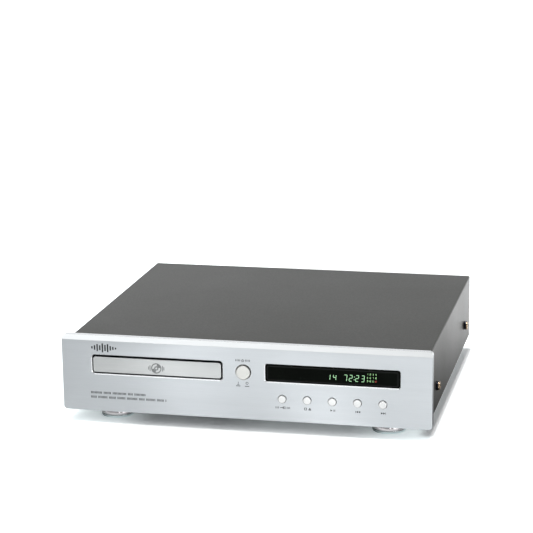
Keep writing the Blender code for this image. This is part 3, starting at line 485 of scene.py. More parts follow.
PANEL_METAL = brushed(
    "front_brushed", light=(0.572, 0.592, 0.612), dark=(0.51, 0.53, 0.55), rough=0.36)
# Painted shade: the door's (and keys') copy of the plate metal is set darker and greyer than the
# plate's.
DOOR_SHADED_METAL = brushed(
    "door_painted_shade", light=(0.568, 0.576, 0.573), dark=(0.505, 0.513, 0.513), rough=0.36)
# Painted shade: the chamfer's copy of the plate metal is set darker and greyer than the plate's.
CHAMFER_SHADED_METAL = brushed(
    "chamfer_painted_shade", light=(0.583, 0.588, 0.590), dark=(0.525, 0.53, 0.532), rough=0.36)
# Painted highlight: a much brighter copy of the plate metal for the openings' mouths and the plate's
# top flat.
EDGE_HIGHLIGHT_METAL = brushed(
    "edge_painted_highlight", light=(0.86, 0.865, 0.87), dark=(0.80, 0.805, 0.81), rough=0.24, bump=0.02)
CASE_PAINT = powder(
    "case_powder", base=(0.026, 0.025, 0.023), lift=(0.044, 0.043, 0.038), rough=0.30, bump=0.12,
    spec=0.052)
REAR_PAINT = powder(
    "rear_powder", base=(0.026, 0.026, 0.026), lift=(0.050, 0.050, 0.050), rough=0.55)
ZINC = brushed(
    "zinc_plate", light=(0.62, 0.63, 0.64), dark=(0.46, 0.47, 0.48), rough=0.38,
    along=(60.0, 240.0, 240.0), aniso=0.2, bump=0.08)
WINDOW_GLOSS = plastic(
    "window_gloss", base=(0.0028, 0.0036, 0.0028), rough=0.08, grain=300.0, bump=0.0, vary=0.2,
    spec=0.012)
WINDOW_EDGE = plastic(
    "window_border", base=(0.012, 0.012, 0.013), rough=0.25, grain=600.0, bump=0.02, spec=0.2)
BLACK_PLASTIC = plastic("moulded_black", base=(0.012, 0.012, 0.013), rough=0.45)
TRAY_PLASTIC = plastic(
    "tray_black", base=(0.020, 0.020, 0.021), rough=0.42, grain=1500.0, bump=0.2)
GREY_PLASTIC = plastic("moulded_grey", base=(0.10, 0.10, 0.105), rough=0.45)
WHITE_PLASTIC = plastic("acetal_white", base=(0.74, 0.73, 0.69), rough=0.4, vary=0.04)
PAD_RUBBER = plastic("pad_rubber", base=(0.018, 0.018, 0.018), rough=0.75, grain=900.0, bump=0.3)
INK = ink("print_grey", (0.018, 0.019, 0.020))
INK_SOFT = ink("print_soft", (0.030, 0.032, 0.034))
INK_DOOR = ink("door_print", (0.16, 0.165, 0.165))
GREEN = glow("tube_green", (0.50, 0.95, 0.52), strength=1.5)
GREEN_FINE = glow("tube_green_fine", (0.50, 0.95, 0.42), strength=1.7)
RED = glow("tube_red", (0.85, 0.10, 0.06), strength=1.0)
# Black screw heads with a painted bronze highlight on their outer rim.
SCREW_RIM_HIGHLIGHT = screw_metal(
    "screw_painted_rim_highlight", barrel=(0.020, 0.022, 0.030), rim=(0.36, 0.26, 0.165), reach=2.7)
GOLD = brushed(
    "gold_plate", light=(0.83, 0.62, 0.26), dark=(0.70, 0.50, 0.20), rough=0.25,
    along=(300.0, 300.0, 300.0), aniso=0.0, bump=0.02)
SCREW_ZINC = brushed(
    "zinc_screw", light=(0.55, 0.55, 0.56), dark=(0.36, 0.36, 0.37), rough=0.3,
    along=(500.0, 500.0, 500.0), aniso=0.0)
BRASS = brushed(
    "machined_brass", light=(0.76, 0.58, 0.27), dark=(0.60, 0.44, 0.20), rough=0.3,
    along=(400.0, 400.0, 400.0), aniso=0.0)
BOARD = plastic(
    "solder_resist", base=(0.012, 0.13, 0.05), rough=0.35, grain=450.0, bump=0.25, vary=0.25)
TAPE = plastic(
    "winding_tape", base=(0.50, 0.20, 0.05), rough=0.4, grain=260.0, bump=0.3, vary=0.2)
SLEEVE = plastic("capacitor_sleeve", base=(0.02, 0.022, 0.05), rough=0.3)
HEATSINK = brushed(
    "heatsink_anodised", light=(0.045, 0.045, 0.047), dark=(0.03, 0.03, 0.032), rough=0.45,
    aniso=0.2)
BELT = plastic("belt_rubber", base=(0.012, 0.012, 0.012), rough=0.7, grain=1200.0, bump=0.2)
RIBBON = plastic("ribbon_jacket", base=(0.42, 0.43, 0.45), rough=0.5, vary=0.06)
TUBE_GLASS = plastic(
    "tube_glass", base=(0.010, 0.018, 0.016), rough=0.08, grain=500.0, bump=0.0)
RING_RED = plastic("ring_red", base=(0.55, 0.02, 0.02), rough=0.35)
RING_WHITE = plastic("ring_white", base=(0.80, 0.80, 0.78), rough=0.35)
RING_ORANGE = plastic("ring_orange", base=(0.75, 0.22, 0.02), rough=0.35)

SLOT_MATERIAL = {
    "front_aluminium": PANEL_METAL, "door_aluminium": DOOR_SHADED_METAL, "key_metal": DOOR_SHADED_METAL,
    "case_paint": CASE_PAINT, "zinc_steel": ZINC, "foot_aluminium": ZINC,
    "pad_rubber": PAD_RUBBER, "screw_black": SCREW_RIM_HIGHLIGHT, "dark_plastic": BLACK_PLASTIC,
    "grey_plastic": GREY_PLASTIC, "white_plastic": WHITE_PLASTIC, "smoked_window": WINDOW_GLOSS,
    "tube_glass": TUBE_GLASS, "board_green": BOARD, "winding": TAPE, "capacitor_sleeve": SLEEVE,
    "heatsink_black": HEATSINK, "belt_rubber": BELT, "brass": BRASS, "ribbon_grey": RIBBON,
}


def set_only_material(node, material):
    materials = NODES[node].data.materials
    materials.clear()
    materials.append(material)


# ------------------------------------------------------------------ front plate
def cut_chamfer(plate):
    """Slice off the top front edge with a wedge."""
    slope = CHAMFER_HEIGHT / CHAMFER_DEPTH
    front, behind = 3.0, 4.0  # how far the wedge runs past the chamfer each way in y
    top = PANEL.top + behind * slope
    outline = [
        (-front, PANEL.top - CHAMFER_HEIGHT - front * slope), (behind + CHAMFER_DEPTH, top),
        (-front, top),
    ]
    boolean(plate, lofted("wedge", prism("X", outline, -HALF_WIDTH - 5, HALF_WIDTH + 5)))
    tidy(plate)


def soften_chamfer(plate):
    """Round the chamfer's two long edges."""
    build = bmesh.new()
    build.from_mesh(plate.data)

    def on_edge(p):
        lower = abs(p.y) < 0.05 and abs(p.z - (PANEL.top - CHAMFER_HEIGHT)) < 0.1
        return lower or (abs(p.z - PANEL.top) < 0.05 and abs(p.y - CHAMFER_DEPTH) < 0.1)

    picked = []
    for edge in build.edges:
        start, end = (in_panel(vert.co) for vert in edge.verts)
        if abs(start.x - end.x) > 100 and on_edge(start) and on_edge(end):
            picked.append(edge)
    bmesh.ops.bevel(
        build, geom=picked, offset=0.35 * MM, segments=3, affect="EDGES", profile=0.5)
    build.to_mesh(plate.data)
    build.free()


def flared(outline_of, flare):
    """A cutter whose mouth opens by 'flare' at the plate's face."""
    return slab("Y", outline_of, [(-1.0, -(flare + 1.0)), (flare, 0.0), (PANEL.back + 3, 0.0)])


def flared_hole(box, radius, flare, steps):
    return flared(lambda inset: circle(box.mid_x, box.mid_z, radius - inset, steps), flare)


def cut_openings(plate):
    gap = 0.3  # around the display window
    door = inset_rect(TRAY_X - 78.8, TRAY_X + 78.8, 45.9, 68.5, radius=3.4, steps=10)
    window = inset_rect(
        WINDOW.left - gap, WINDOW.right + gap, WINDOW.bottom - gap, WINDOW.top + gap,
        radius=2.5, steps=10)
    cutters = [flared(door, 0.9), flared(window, 0.9)]
    cutters.append(flared_hole(POWER, radius=8.9, flare=0.6, steps=72))
    for key in KEYS:
        cutters.append(flared_hole(KEY_BOX[key], radius=4.95, flare=0.35, steps=56))
    boolean(plate, lofted("openings", *cutters))
    smooth(plate, 20)


def build_front_plate():
    levels = eased_front(0.0, 0.8)
    levels += [(PANEL.back - 0.5, 0.0), (PANEL.back - 0.15, 0.15), (PANEL.back, 0.5)]
    outline_of = inset_rect(-HALF_WIDTH, HALF_WIDTH, 0.0, PANEL.top, radius=4.6, steps=10)
    plate = lofted("front_plate_v", slab("Y", outline_of, levels))
    cut_chamfer(plate)
    soften_chamfer(plate)
    cut_openings(plate)
    finish_piece(plate, "chassis", PANEL_METAL, "front_panel")
    # Painted highlight and painted shade copies of the plate metal.
    plate.data.materials.append(EDGE_HIGHLIGHT_METAL)
    plate.data.materials.append(CHAMFER_SHADED_METAL)
    cut, chamfer = 1, 2
    chamfer_foot = PANEL.top - CHAMFER_HEIGHT
    for face in plate.data.polygons:
        centre = in_panel(face.center)
        # The top flat gets the painted highlight metal and the chamfer the painted shade metal.
        if face.normal.z > 0.3 and centre.z > chamfer_foot - 0.3:
            face.material_index = cut if face.normal.z > 0.97 else chamfer
        # The flared mouths of the openings get the painted highlight metal.
        within = abs(centre.x) < HALF_WIDTH - 6 and 6 < centre.z < chamfer_foot - 4
        if 0.3 < abs(face.normal.y) < 0.95 and centre.y < 1.0 and within:
            face.material_index = cut


def build_door():
    levels = eased_front(DOOR.front, 0.7) + [(DOOR.back - 0.2, 0.0), (DOOR.back, 0.2)]
    outline_of = inset_rect(DOOR.left, DOOR.right, DOOR.bottom, DOOR.top, radius=2.5, steps=10)
    door = lofted("tray_door_v", slab("Y", outline_of, levels))
    finish_piece(door, "tray", DOOR_SHADED_METAL, "tray_door")


# ------------------------------------------------------------------ printed marks
# A mark is a closed (x, z) outline, or a list of two: outer edge and hole.
def strokes(name, shapes, y, material, body="chassis", half=0.03):
    """Flat marks reaching 'half' either side of y."""
    build = bmesh.new()
    for shape in shapes:
        if isinstance(shape[0], list):
            outer, hole = shape
            rings = prism("Y", outer, y - half, y + half) + prism("Y", hole, y + half, y - half)
            add_loft(build, rings, looped=True)
        else:
            add_loft(build, prism("Y", shape, y - half, y + half))
    finish_piece(to_object(name, build), body, material)


def moved(shapes, x, z):
    """The shapes shifted by (x, z)."""
    def shift(outline):
        return [(x + a, z + b) for a, b in outline]

    return [
        [shift(edge) for edge in shape] if isinstance(shape[0], list) else shift(shape)
        for shape in shapes
    ]


def bar(x0, x1, z0, z1):
    return [(x0, z0), (x1, z0), (x1, z1), (x0, z1)]


def arc_band(x, z, radius, width, start, end, steps=28):
    turns = [math.radians(start + (end - start) * i / steps) for i in range(steps + 1)]
    outer, inner = radius + width / 2, radius - width / 2
    points = [(x + outer * math.cos(a), z + outer * math.sin(a)) for a in turns]
    return points + [(x + inner * math.cos(a), z + inner * math.sin(a)) for a in turns[::-1]]


def ring_band(x, z, radius, width, steps=40):
    return [circle(x, z, radius + width / 2, steps), circle(x, z, radius - width / 2, steps)]


def triangle(x, width, height, way=1):
    """Triangle at z = 0 pointing right, or left when way is -1."""
    half = way * width / 2
    return [(x - half, -height / 2), (x + half, 0.0), (x - half, height / 2)][::way]


def ticks(left, right, low, high, pitch, width, groups):
    """Upright ticks in groups; groups lists how many ticks each holds, in turn."""
    out, x, count, group = [], left, 0, 0
    while x + width <= right:
        out.append(bar(x, x + width, low, high))
        count += 1
        x += pitch
        if count == groups[group % len(groups)]:
            count = 0
            group += 1
            x += pitch * 1.1
    return out


def mark_plate():
    """Level-bar badge and two rules of ticks at the left of the plate."""
    bar_heights = (2.8, 5.6, 8.6, 5.8, 11.0, 7.6, 9.8, 5.4, 3.6, 2.2)
    first, width, pitch, middle = -183.4, 1.75, 3.2, 77.6
    badge = [
        bar(first + i * pitch, first + width + i * pitch, middle - h / 2, middle + h / 2)
        for i, h in enumerate(bar_heights)
    ]
    strokes("badge_level_bars", badge, MARK_Y, INK)
    upper = ticks(-185.5, -116.5, 21.2, 23.9, pitch=1.55, width=0.82, groups=(9, 6, 11, 4))
    strokes("scale_upper", upper, MARK_Y, INK)
    lower = ticks(-185.5, -93.5, 15.7, 18.5, pitch=1.45, width=0.74, groups=(5, 8, 6, 7, 9))
    strokes("scale_lower", lower, MARK_Y, INK)


def mark_power():
    """Power pictogram between ticks above the button, and small signs below it."""
    x = POWER.mid_x - 0.5
    power = [arc_band(0, -0.2, 1.35, 0.62, 130, 410), bar(-0.33, 0.33, -0.1, 1.7)]
    for tick in (-8.2, -6.6, -5.0, -3.4, 3.4, 5.0, 6.6, 8.2):
        power.append(bar(tick - 0.33, tick + 0.33, -1.25, 1.25))
    strokes("power_mark", moved(power, x, 71.2), MARK_Y, INK)
    states = [
        ring_band(4.8, 44.0, 1.35, 0.55), bar(2.2, 7.4, 39.9, 40.7), bar(-5.9, -5.3, 42.6, 45.4),
        bar(-8.3, -3.1, 39.9, 40.7), bar(-7.0, -4.2, 41.5, 42.1),
    ]
    strokes("power_states", moved(states, x, 0.0), MARK_Y, INK_SOFT)


def mark_keys():
    """Pictograms under the keys, each drawn about its own centre."""
    pictograms = {
        # input select: arrow into a bracket, between ticks
        "key_source": [bar(t - 0.3, t + 0.3, -1.2, 1.2) for t in (-8.2, -6.7, -5.2, 5.2, 6.7, 8.2)]
        + [
            bar(-3.3, 0.2, -0.32, 0.32), triangle(0.9, 1.7, 2.3), bar(2.5, 3.1, -1.4, 1.4),
            bar(0.2, 2.6, 0.9, 1.4), bar(0.2, 2.6, -1.4, -0.9),
        ],
        # stop, and open/close
        "key_stop": [
            [rounded_rect(-4.1, -0.9, -1.5, 1.5, 0.3, 3), rounded_rect(-3.5, -1.5, -0.9, 0.9, 0.1, 3)],
            [(0.9, -0.4), (4.1, -0.4), (2.5, 1.6)],
            bar(0.9, 4.1, -1.5, -0.8),
        ],
        # play and pause
        "key_play": [triangle(-1.5, 2.4, 2.6), bar(0.9, 1.5, -1.3, 1.3), bar(2.2, 2.8, -1.3, 1.3)],
        # previous
        "key_back": [
            bar(-2.9, -2.4, -1.3, 1.3), triangle(-1.05, 2.4, 2.6, -1), triangle(1.5, 2.4, 2.6, -1),
        ],
        # next
        "key_forward": [
            bar(2.4, 2.9, -1.3, 1.3), triangle(1.05, 2.4, 2.6), triangle(-1.5, 2.4, 2.6),
        ],
    }
    shapes = []
    for key in KEYS:
        shapes += moved(pictograms[key], KEY_BOX[key].mid_x + 0.6, 16.9)
    strokes("key_marks", shapes, MARK_Y, INK)


def mark_door():
    """Disc pictogram on the tray door: a ring, its hub, two glints and bars at the sides."""
    disc = [
        ring_band(0, 0, 5.6, 1.3, 56), ring_band(0, 0, 1.9, 1.3, 32),
        arc_band(0, 0, 3.8, 2.3, 10, 80, 12), arc_band(0, 0, 3.8, 2.3, 190, 260, 12),
    ]
    for side in (-1, 1):
        for off, half in ((7.5, 3.4), (9.2, 2.0)):
            disc.append(bar(side * off - 0.5, side * off + 0.5, -half, half))
    shapes = moved(disc, TRAY_X - 0.4, DOOR.mid_z - 1.0)
    strokes("door_disc_mark", shapes, DOOR.front - 0.02, INK_DOOR, body="tray")


# ------------------------------------------------------------------ display
# Bars of each figure: a top, b and c right, d bottom, e and f left, g middle.
SEGMENTS = {
    "0": "abcdef", "1": "bc", "2": "abged", "3": "abgcd", "4": "fgbc", "5": "afgcd",
    "6": "afgedc", "7": "abc", "8": "abcdefg", "9": "abcdfg",
}


def digit(figure, x, z, width, height, stroke, lean=0.10):
    """A seven-bar figure with its lower left corner at (x, z)."""
    gap, half = stroke * 0.30, stroke / 2
    middle, top, right = z + height / 2, z + height, x + width
    level_of = {"a": top, "g": middle, "d": z}
    upright_of = {
        "b": (right, middle, top), "c": (right, z, middle),
        "f": (x, middle, top), "e": (x, z, middle),
    }
    out = []
    for segment in SEGMENTS[figure]:
        if segment in level_of:
            level, start, end = level_of[segment], x + gap, right - gap
            points = [
                (start, level), (start + half, level - half), (end - half, level - half),
                (end, level), (end - half, level + half), (start + half, level + half),
            ]
        else:
            side, low, high = upright_of[segment]
            start, end = low + gap, high - gap
            points = [
                (side, start), (side + half, start + half), (side + half, end - half),
                (side, end), (side - half, end - half), (side - half, start + half),
            ]
        out.append([(a + (b - z) * lean, b) for a, b in points])
    return out


def track_number(number, x, z):
    """One small number of the track grid."""
    text = str(number)
    if len(text) == 1:
        return digit(text, x, z, width=0.85, height=2.0, stroke=0.30, lean=0.08)
    tens = digit(text[0], x - 0.75, z, width=0.55, height=2.0, stroke=0.28, lean=0.08)
    return tens + digit(text[1], x + 0.2, z, width=0.7, height=2.0, stroke=0.28, lean=0.08)


def build_window():
    levels = eased_front(WINDOW.front, 0.3, (0, 30, 60, 90)) + [(WINDOW.back, 0.0)]
    edges = (WINDOW.left, WINDOW.right, WINDOW.bottom, WINDOW.top)
    window = lofted("display_window_v", slab("Y", inset_rect(*edges, radius=2.2, steps=10), levels))
    finish_piece(window, "chassis", WINDOW_GLOSS, "display_window")


def build_display():
    """Border line and lit figures on the window's face."""
    face = WINDOW.front - 0.01

    def frame_line(side, end, radius):
        return rounded_rect(
            WINDOW.left + side, WINDOW.right - side, WINDOW.bottom + end, WINDOW.top - end,
            radius, 4)

    border = [[frame_line(2.0, 1.6, 0.8), frame_line(2.5, 2.1, 0.5)]]
    strokes("window_border", border, face + 0.005, WINDOW_EDGE, half=0.01)

    middle = WINDOW.mid_x
    figures = []
    for text, x in (("1", -5.9), ("4", 1.0)):
        figures += digit(text, middle + x, 53.5, width=3.1, height=6.2, stroke=0.48)
    for text, x in (("7", 13.5), ("2", 19.6), ("2", 27.1), ("3", 33.7)):
        figures += digit(text, middle + x, 53.1, width=3.2, height=7.2, stroke=0.47)
    for z in (55.1, 58.4):  # colon
        figures.append(circle(middle + 25.3 + (z - 52.8) * 0.1, z, 0.42, 12))
    columns, count = 4, 12
    numbers = []
    for i in range(count):
        row, column = divmod(i, columns)
        numbers.append(track_number(i + 1, middle + 40.5 + column * 3.25, 61.3 - row * 4.05))
    strokes("display_figures", figures, face, GREEN, half=0.012)
    strokes("display_track_grid", sum(numbers[:-1], []), face, GREEN_FINE, half=0.012)
    strokes("display_track_last", numbers[-1], face, RED, half=0.012)


# ------------------------------------------------------------------ keys
def cap_profile(radius, front, back, edge, dish, flange):
    """Dished face, rounded edge, barrel and a flange behind the plate."""
    inner = radius - edge
    profile = [(0.0, front + dish)]
    for i in range(1, 7):
        share = i / 6
        profile.append((inner * share, front + dish * (1 - share * share)))
    for angle in map(math.radians, (22.5, 45, 67.5, 90)):
        profile.append((inner + edge * math.sin(angle), front + edge * (1 - math.cos(angle))))
    return profile + [
        (radius, FLANGE_Y - 0.2), (radius + 0.2, FLANGE_Y), (flange - 0.2, FLANGE_Y),
        (flange, FLANGE_Y + 0.2), (flange, back - 0.2), (flange - 0.2, back), (0.0, back),
    ]


def build_cap(node, name, box, metal, steps, **profile):
    profile = cap_profile(front=box.front, back=box.back, **profile)
    cap = turned(name, "Y", (box.mid_x, box.mid_z), profile, steps, angle=25)
    finish_piece(cap, node, metal, node)


def build_keys():
    metal = lathe_metal(
        "power_cap_metal", light=(0.63, 0.625, 0.60), dark=(0.57, 0.565, 0.54), rough=0.36,
        centre=point(POWER.mid_x, 0, POWER.mid_z), axis="Y", pitch=0.00030, bump=0.06)
    build_cap("power_button", "power_cap_v", POWER, metal, steps=96,
              radius=8.1, edge=0.7, dish=0.25, flange=11.0)
    for key in KEYS:
        box = KEY_BOX[key]
        metal = lathe_metal(
            key + "_metal", light=(0.70, 0.70, 0.695), dark=(0.64, 0.64, 0.635), rough=0.34,
            centre=point(box.mid_x, 0, box.mid_z), axis="Y", pitch=0.00028, bump=0.05)
        build_cap(key, key + "_cap_v", box, metal, steps=64,
                  radius=4.5, edge=0.5, dish=0.15, flange=6.2)


# ------------------------------------------------------------------ cover
def cover_section(shrink):
    """U section in (x, z); 'shrink' draws in its ends and both faces to ease the cut edges."""
    thickness, bend, steps = 1.2, 2.2, 10
    side, top, bottom = COVER.right - shrink, COVER.top - shrink, COVER.bottom + shrink
    wall, radius = thickness - 2 * shrink, bend - shrink
    outer = quarter_arc(radius, steps)
    out = [(side, bottom)]
    out += [(side - radius + a, top - radius + b) for a, b in outer]
    out += [(-side + radius - b, top - radius + a) for a, b in outer]
    out.append((-side, bottom))
    side, top, radius = side - wall, top - wall, max(radius - wall, 0.3)
    inner = quarter_arc(radius, steps)
    out.append((-side, bottom))
    out += [(-side + radius - a, top - radius + b) for a, b in inner]
    out += [(side - radius + b, top - radius + a) for a, b in inner]
    out.append((side, bottom))
    return out


def build_cover():
    levels = eased_ends(COVER.front, COVER.back, 0.25)
    cover = lofted("cover_v", slab("Y", cover_section, levels))
    finish_piece(cover, "chassis", CASE_PAINT, "top_cover")


def build_cover_screw(node, side):
    """Domed head with a six-sided socket on a thin washer; side is -1 left, 1 right."""
    box = panel_box(node)
    face = side * (COVER.right + 0.05)
    tip = box.right if side > 0 else box.left
    depth = abs(tip - face)
    radius = (box.top - box.bottom) / 2 + 0.7
    shank, dome = 1.9, 1.3
    profile = [(0, face - side * 4), (shank, face - side * 4), (shank, face)]
    # washer
    profile += [
        (radius - 0.2, face), (radius, face + side * 0.15), (radius, face + side * 0.45),
        (radius - 0.2, face + side * 0.6), (radius - 0.7, face + side * 0.6),
    ]
    # head
    profile.append((radius - 0.7, face + side * (depth - dome)))
    for angle in map(math.radians, range(0, 91, 15)):
        height = depth - dome + dome * math.sin(angle)
        profile.append((radius - 2.0 + dome * math.cos(angle), face + side * height))
    profile.append((0, tip))
    head = turned(node + "_v", "X", (box.mid_y, box.mid_z), profile, 48, angle=40)
    turns = [math.radians(60 * i + 12) for i in range(6)]
    hexagon = [(box.mid_y + 2.7 * math.cos(a), box.mid_z + 2.7 * math.sin(a)) for a in turns]
    low, high = sorted((tip + side * 1.0, tip - side * 2.1))
    boolean(head, lofted("socket", prism("X", hexagon, low, high)))
    smooth(head, 35)
    finish_piece(head, "chassis", SCREW_RIM_HIGHLIGHT, node)
    head.visible_shadow = False


def build_cover_screws():
    for side, side_name in ((-1, "left"), (1, "right")):
        for end in ("front", "rear"):
            build_cover_screw(f"cover_screw_{side_name}_{end}", side)


# ------------------------------------------------------------------ feet
# (radius, z) of a foot from the flared neck down to the groove above its base band.
FOOT_BULGE = [
    (16.0, 2.0), (16.4, 0.9), (17.2, -0.6), (18.1, -2.6), (18.8, -4.6), (19.35, -6.6),
    (19.7, -8.4), (19.85, -9.8), (19.8, -10.4), (19.6, -10.7), (19.5, -10.8), (19.55, -10.95),
    (19.8, -11.05),
]


def build_foot(tag):
    box = panel_box("foot_" + tag)
    x, y, radius = box.mid_x, box.mid_y, (box.right - box.left) / 2
    floor_z = panel_box("foot_pad_" + tag).bottom
    profile = [(0, box.top), (15.6, box.top), (16.0, box.top - 0.4)] + FOOT_BULGE
    # base band and the recess that takes the pad
    profile += [
        (radius, -11.3), (radius, -13.5), (radius - 0.1, -13.8), (radius - 0.4, -13.9),
        (15.7, -13.9), (15.4, -13.6), (15.4, -12.0), (0, -12.0),
    ]
    # The foot's metal carries painted shade: a darker bulge and a dark left side.
    metal = lathe_metal(
        "foot_metal_" + tag, light=(0.82, 0.82, 0.82), dark=(0.74, 0.745, 0.75), rough=0.18,
        centre=point(x, y, 0), axis="Z", pitch=0.0004, bump=0.05, foot_x=x)
    foot = turned("foot_" + tag + "_v", "Z", (x, y), profile, 96, angle=25)
    finish_piece(foot, "chassis", metal, "foot_" + tag)
    pad_profile = [
        (0, -12.3), (14.7, -12.3), (15.0, -12.6), (15.0, floor_z + 0.4), (14.6, floor_z),
        (9.0, floor_z), (8.6, floor_z + 0.4), (0, floor_z + 0.4),
    ]
    pad = turned("foot_pad_" + tag + "_v", "Z", (x, y), pad_profile, 64, angle=25)
    finish_piece(pad, "chassis", PAD_RUBBER, "foot_pad_" + tag)


# ------------------------------------------------------------------ rear plate and sockets
def build_socket(label, x, z, face, tip, colour):
    """Coloured washer, gold barrel and coloured core."""
    centre = (x, z)
    washer = [
        (4.45, face + 0.05), (6.6, face + 0.05), (6.8, face + 0.25), (6.8, face + 0.75),
        (6.6, face + 0.95), (4.45, face + 0.95),
    ]
    finish_piece(turned(f"socket_washer_{label}", "Y", centre, washer, 48), "chassis", colour)
    barrel = [
        (3.35, face - 1.0), (4.3, face - 1.0), (4.3, tip - 0.5), (4.1, tip - 0.15), (3.8, tip),
        (3.6, tip), (3.35, tip - 0.25),
    ]
    finish_piece(turned(f"socket_barrel_{label}", "Y", centre, barrel, 64), "chassis", GOLD)
    core = [
        (1.35, face + 0.1), (3.2, face + 0.1), (3.2, tip - 3.4), (3.0, tip - 3.2),
        (1.5, tip - 3.2), (1.35, tip - 3.4),
    ]
    finish_piece(turned(f"socket_core_{label}", "Y", centre, core, 40), "chassis", colour)


def build_rear_screw(name, x, z, face):
    """Domed head with a cross recess."""
    radius = 2.9
    profile = [(0, face - 2), (1.4, face - 2), (1.4, face + 0.05), (radius, face + 0.05)]
    for angle in map(math.radians, range(0, 90, 15)):
        profile.append((radius * math.cos(angle), face + 0.35 + 1.35 * math.sin(angle)))
    profile.append((0, face + 1.7))
    head = turned(name, "Y", (x, z), profile, 32, angle=40)
    slots = [
        lofted(slot, block(x - half_x, x + half_x, face + 0.9, face + 3, z - half_z, z + half_z))
        for slot, half_x, half_z in (("slot_a", 1.5, 0.3), ("slot_b", 0.3, 1.5))
    ]
    boolean(head, *slots)
    smooth(head, 35)
    finish_piece(head, "chassis", SCREW_ZINC)


def build_rear():
    rear_box = panel_box("rear_panel")
    audio = panel_box("audio_sockets")
    audio_x = audio.mid_x
    digital_x = panel_box("digital_sockets").mid_x
    inlet_x = panel_box("mains_inlet").mid_x
    z, face = audio.mid_z, rear_box.back

    outline_of = inset_rect(
        rear_box.left, rear_box.right, rear_box.bottom, rear_box.top, radius=1.2, steps=4)
    rear = lofted("rear_plate_v", slab("Y", outline_of, eased_ends(rear_box.front, face, 0.2)))
    sockets = (
        (audio_x - 11, RING_RED, "left"), (audio_x + 11, RING_WHITE, "right"),
        (digital_x - 10, RING_ORANGE, "coax"),
    )
    holes = [circle(x, z, 4.9, 40) for x, _, _ in sockets]
    holes.append(rounded_rect(digital_x + 4.6, digital_x + 15.4, z - 5.4, z + 5.4, 0.6, 4))
    holes.append(rounded_rect(inlet_x - 14.4, inlet_x + 14.4, z - 10.4, z + 10.4, 1.0, 4))
    boolean(rear, lofted("holes", *(prism("Y", hole, face - 4, face + 4) for hole in holes)))
    smooth(rear, 25)
    finish_piece(rear, "chassis", REAR_PAINT, "rear_panel")

    for x, colour, label in sockets:
        build_socket(label, x, z, face, audio.back, colour)
    for node in ("audio_sockets", "digital_sockets"):
        set_only_material(node, BLACK_PLASTIC)

    screws = (
        (-205, 12), (-205, 76), (205, 12), (205, 76), (-70, 76), (70, 76), (audio_x, 56),
        (digital_x, 56),
    )
    for i, (screw_x, screw_z) in enumerate(screws):
        build_rear_screw(f"rear_screw_{i + 1}", screw_x, screw_z, face)


# ------------------------------------------------------------------ disc tray
def build_tray():
    box = panel_box("disc_tray")
    disc_y, top, skirt = 68.0, box.top, box.bottom
    under = top - 6.0  # underside of the tray's floor
    left, right = TRAY_X - 74.5, TRAY_X + 74.5
    section = [
        (left, skirt), (left + 3, skirt), (left + 3, under), (right - 3, under),
        (right - 3, skirt), (right, skirt), (right, top - 0.8), (right - 0.8, top),
        (left + 0.8, top), (left, top - 0.8),
    ]
    tray = lofted("disc_tray_v", prism("Y", section, box.front, box.back))
    apron = block(
        left + 1.5, right - 1.5, box.front + 0.5, box.front + 3.5, skirt + 0.5, under + 1.3)
    boolean(tray, lofted("apron", apron), operation="UNION")

    def cut_well(name, steps, levels):
        """levels are (height, radius)."""
        boolean(tray, lofted(name, slab("Z", lambda r: circle(TRAY_X, disc_y, r, steps), levels)))

    radius, depth, lip = 61.6, 2.6, 0.8
    mouth = radius + 0.15 + lip + 0.6
    cut_well("well", 128, [
        (top - depth, radius - 0.4), (top - depth + 0.4, radius), (top - lip, radius + 0.15),
        (top + 0.6, mouth), (top + 3, mouth),
    ])
    cut_well("inner_well", 96, [
        (top - 4.2, 40.7), (top - 3.9, 41.0), (top - 2.9, 41.0), (top - 2.3, 41.6),
        (top + 3, 41.6),
    ])

    def hub_slot(grow):
        """Slot round in front and square behind."""
        reach = 19 + grow
        turns = [math.radians(a) for a in range(180, 361, 6)]
        points = [(TRAY_X + reach * math.cos(a), disc_y + reach * math.sin(a)) for a in turns]
        return points + [(TRAY_X + reach, 129.0 + grow), (TRAY_X - 19 - grow, 129.0 + grow)]

    levels = [(under - 3, 0), (top - 4.6, 0), (top - 4.2, 0.4), (top + 2, 0.4)]
    boolean(tray, lofted("hub_slot", slab("Z", hub_slot, levels)))

    # Scoops at both sides of the well and one wide pocket behind it; levels are (height, inset).
    levels = [(top - 2.0, 0.4), (top - 1.6, 0), (top - 0.4, -0.1), (top + 0.6, -1.1)]
    scoops = []
    for side in (-1, 1):
        x = TRAY_X + side * 63
        outline_of = inset_rect(x - 9, x + 9, disc_y - 14, disc_y + 14, radius=5, steps=8)
        scoops.append(slab("Z", outline_of, levels))
    outline_of = inset_rect(TRAY_X - 60, TRAY_X + 60, 146, 180, radius=4, steps=6)
    levels = [(top - 2.0, 0.3), (top - 1.7, 0), (top - 0.4, -0.1), (top + 0.6, -1.1)]
    scoops.append(slab("Z", outline_of, levels))
    boolean(tray, lofted("scoops", *scoops))
    tidy(tray, 28)
    finish_piece(tray, "tray", TRAY_PLASTIC)
    build_rack(skirt + 0.8, under + 0.5)


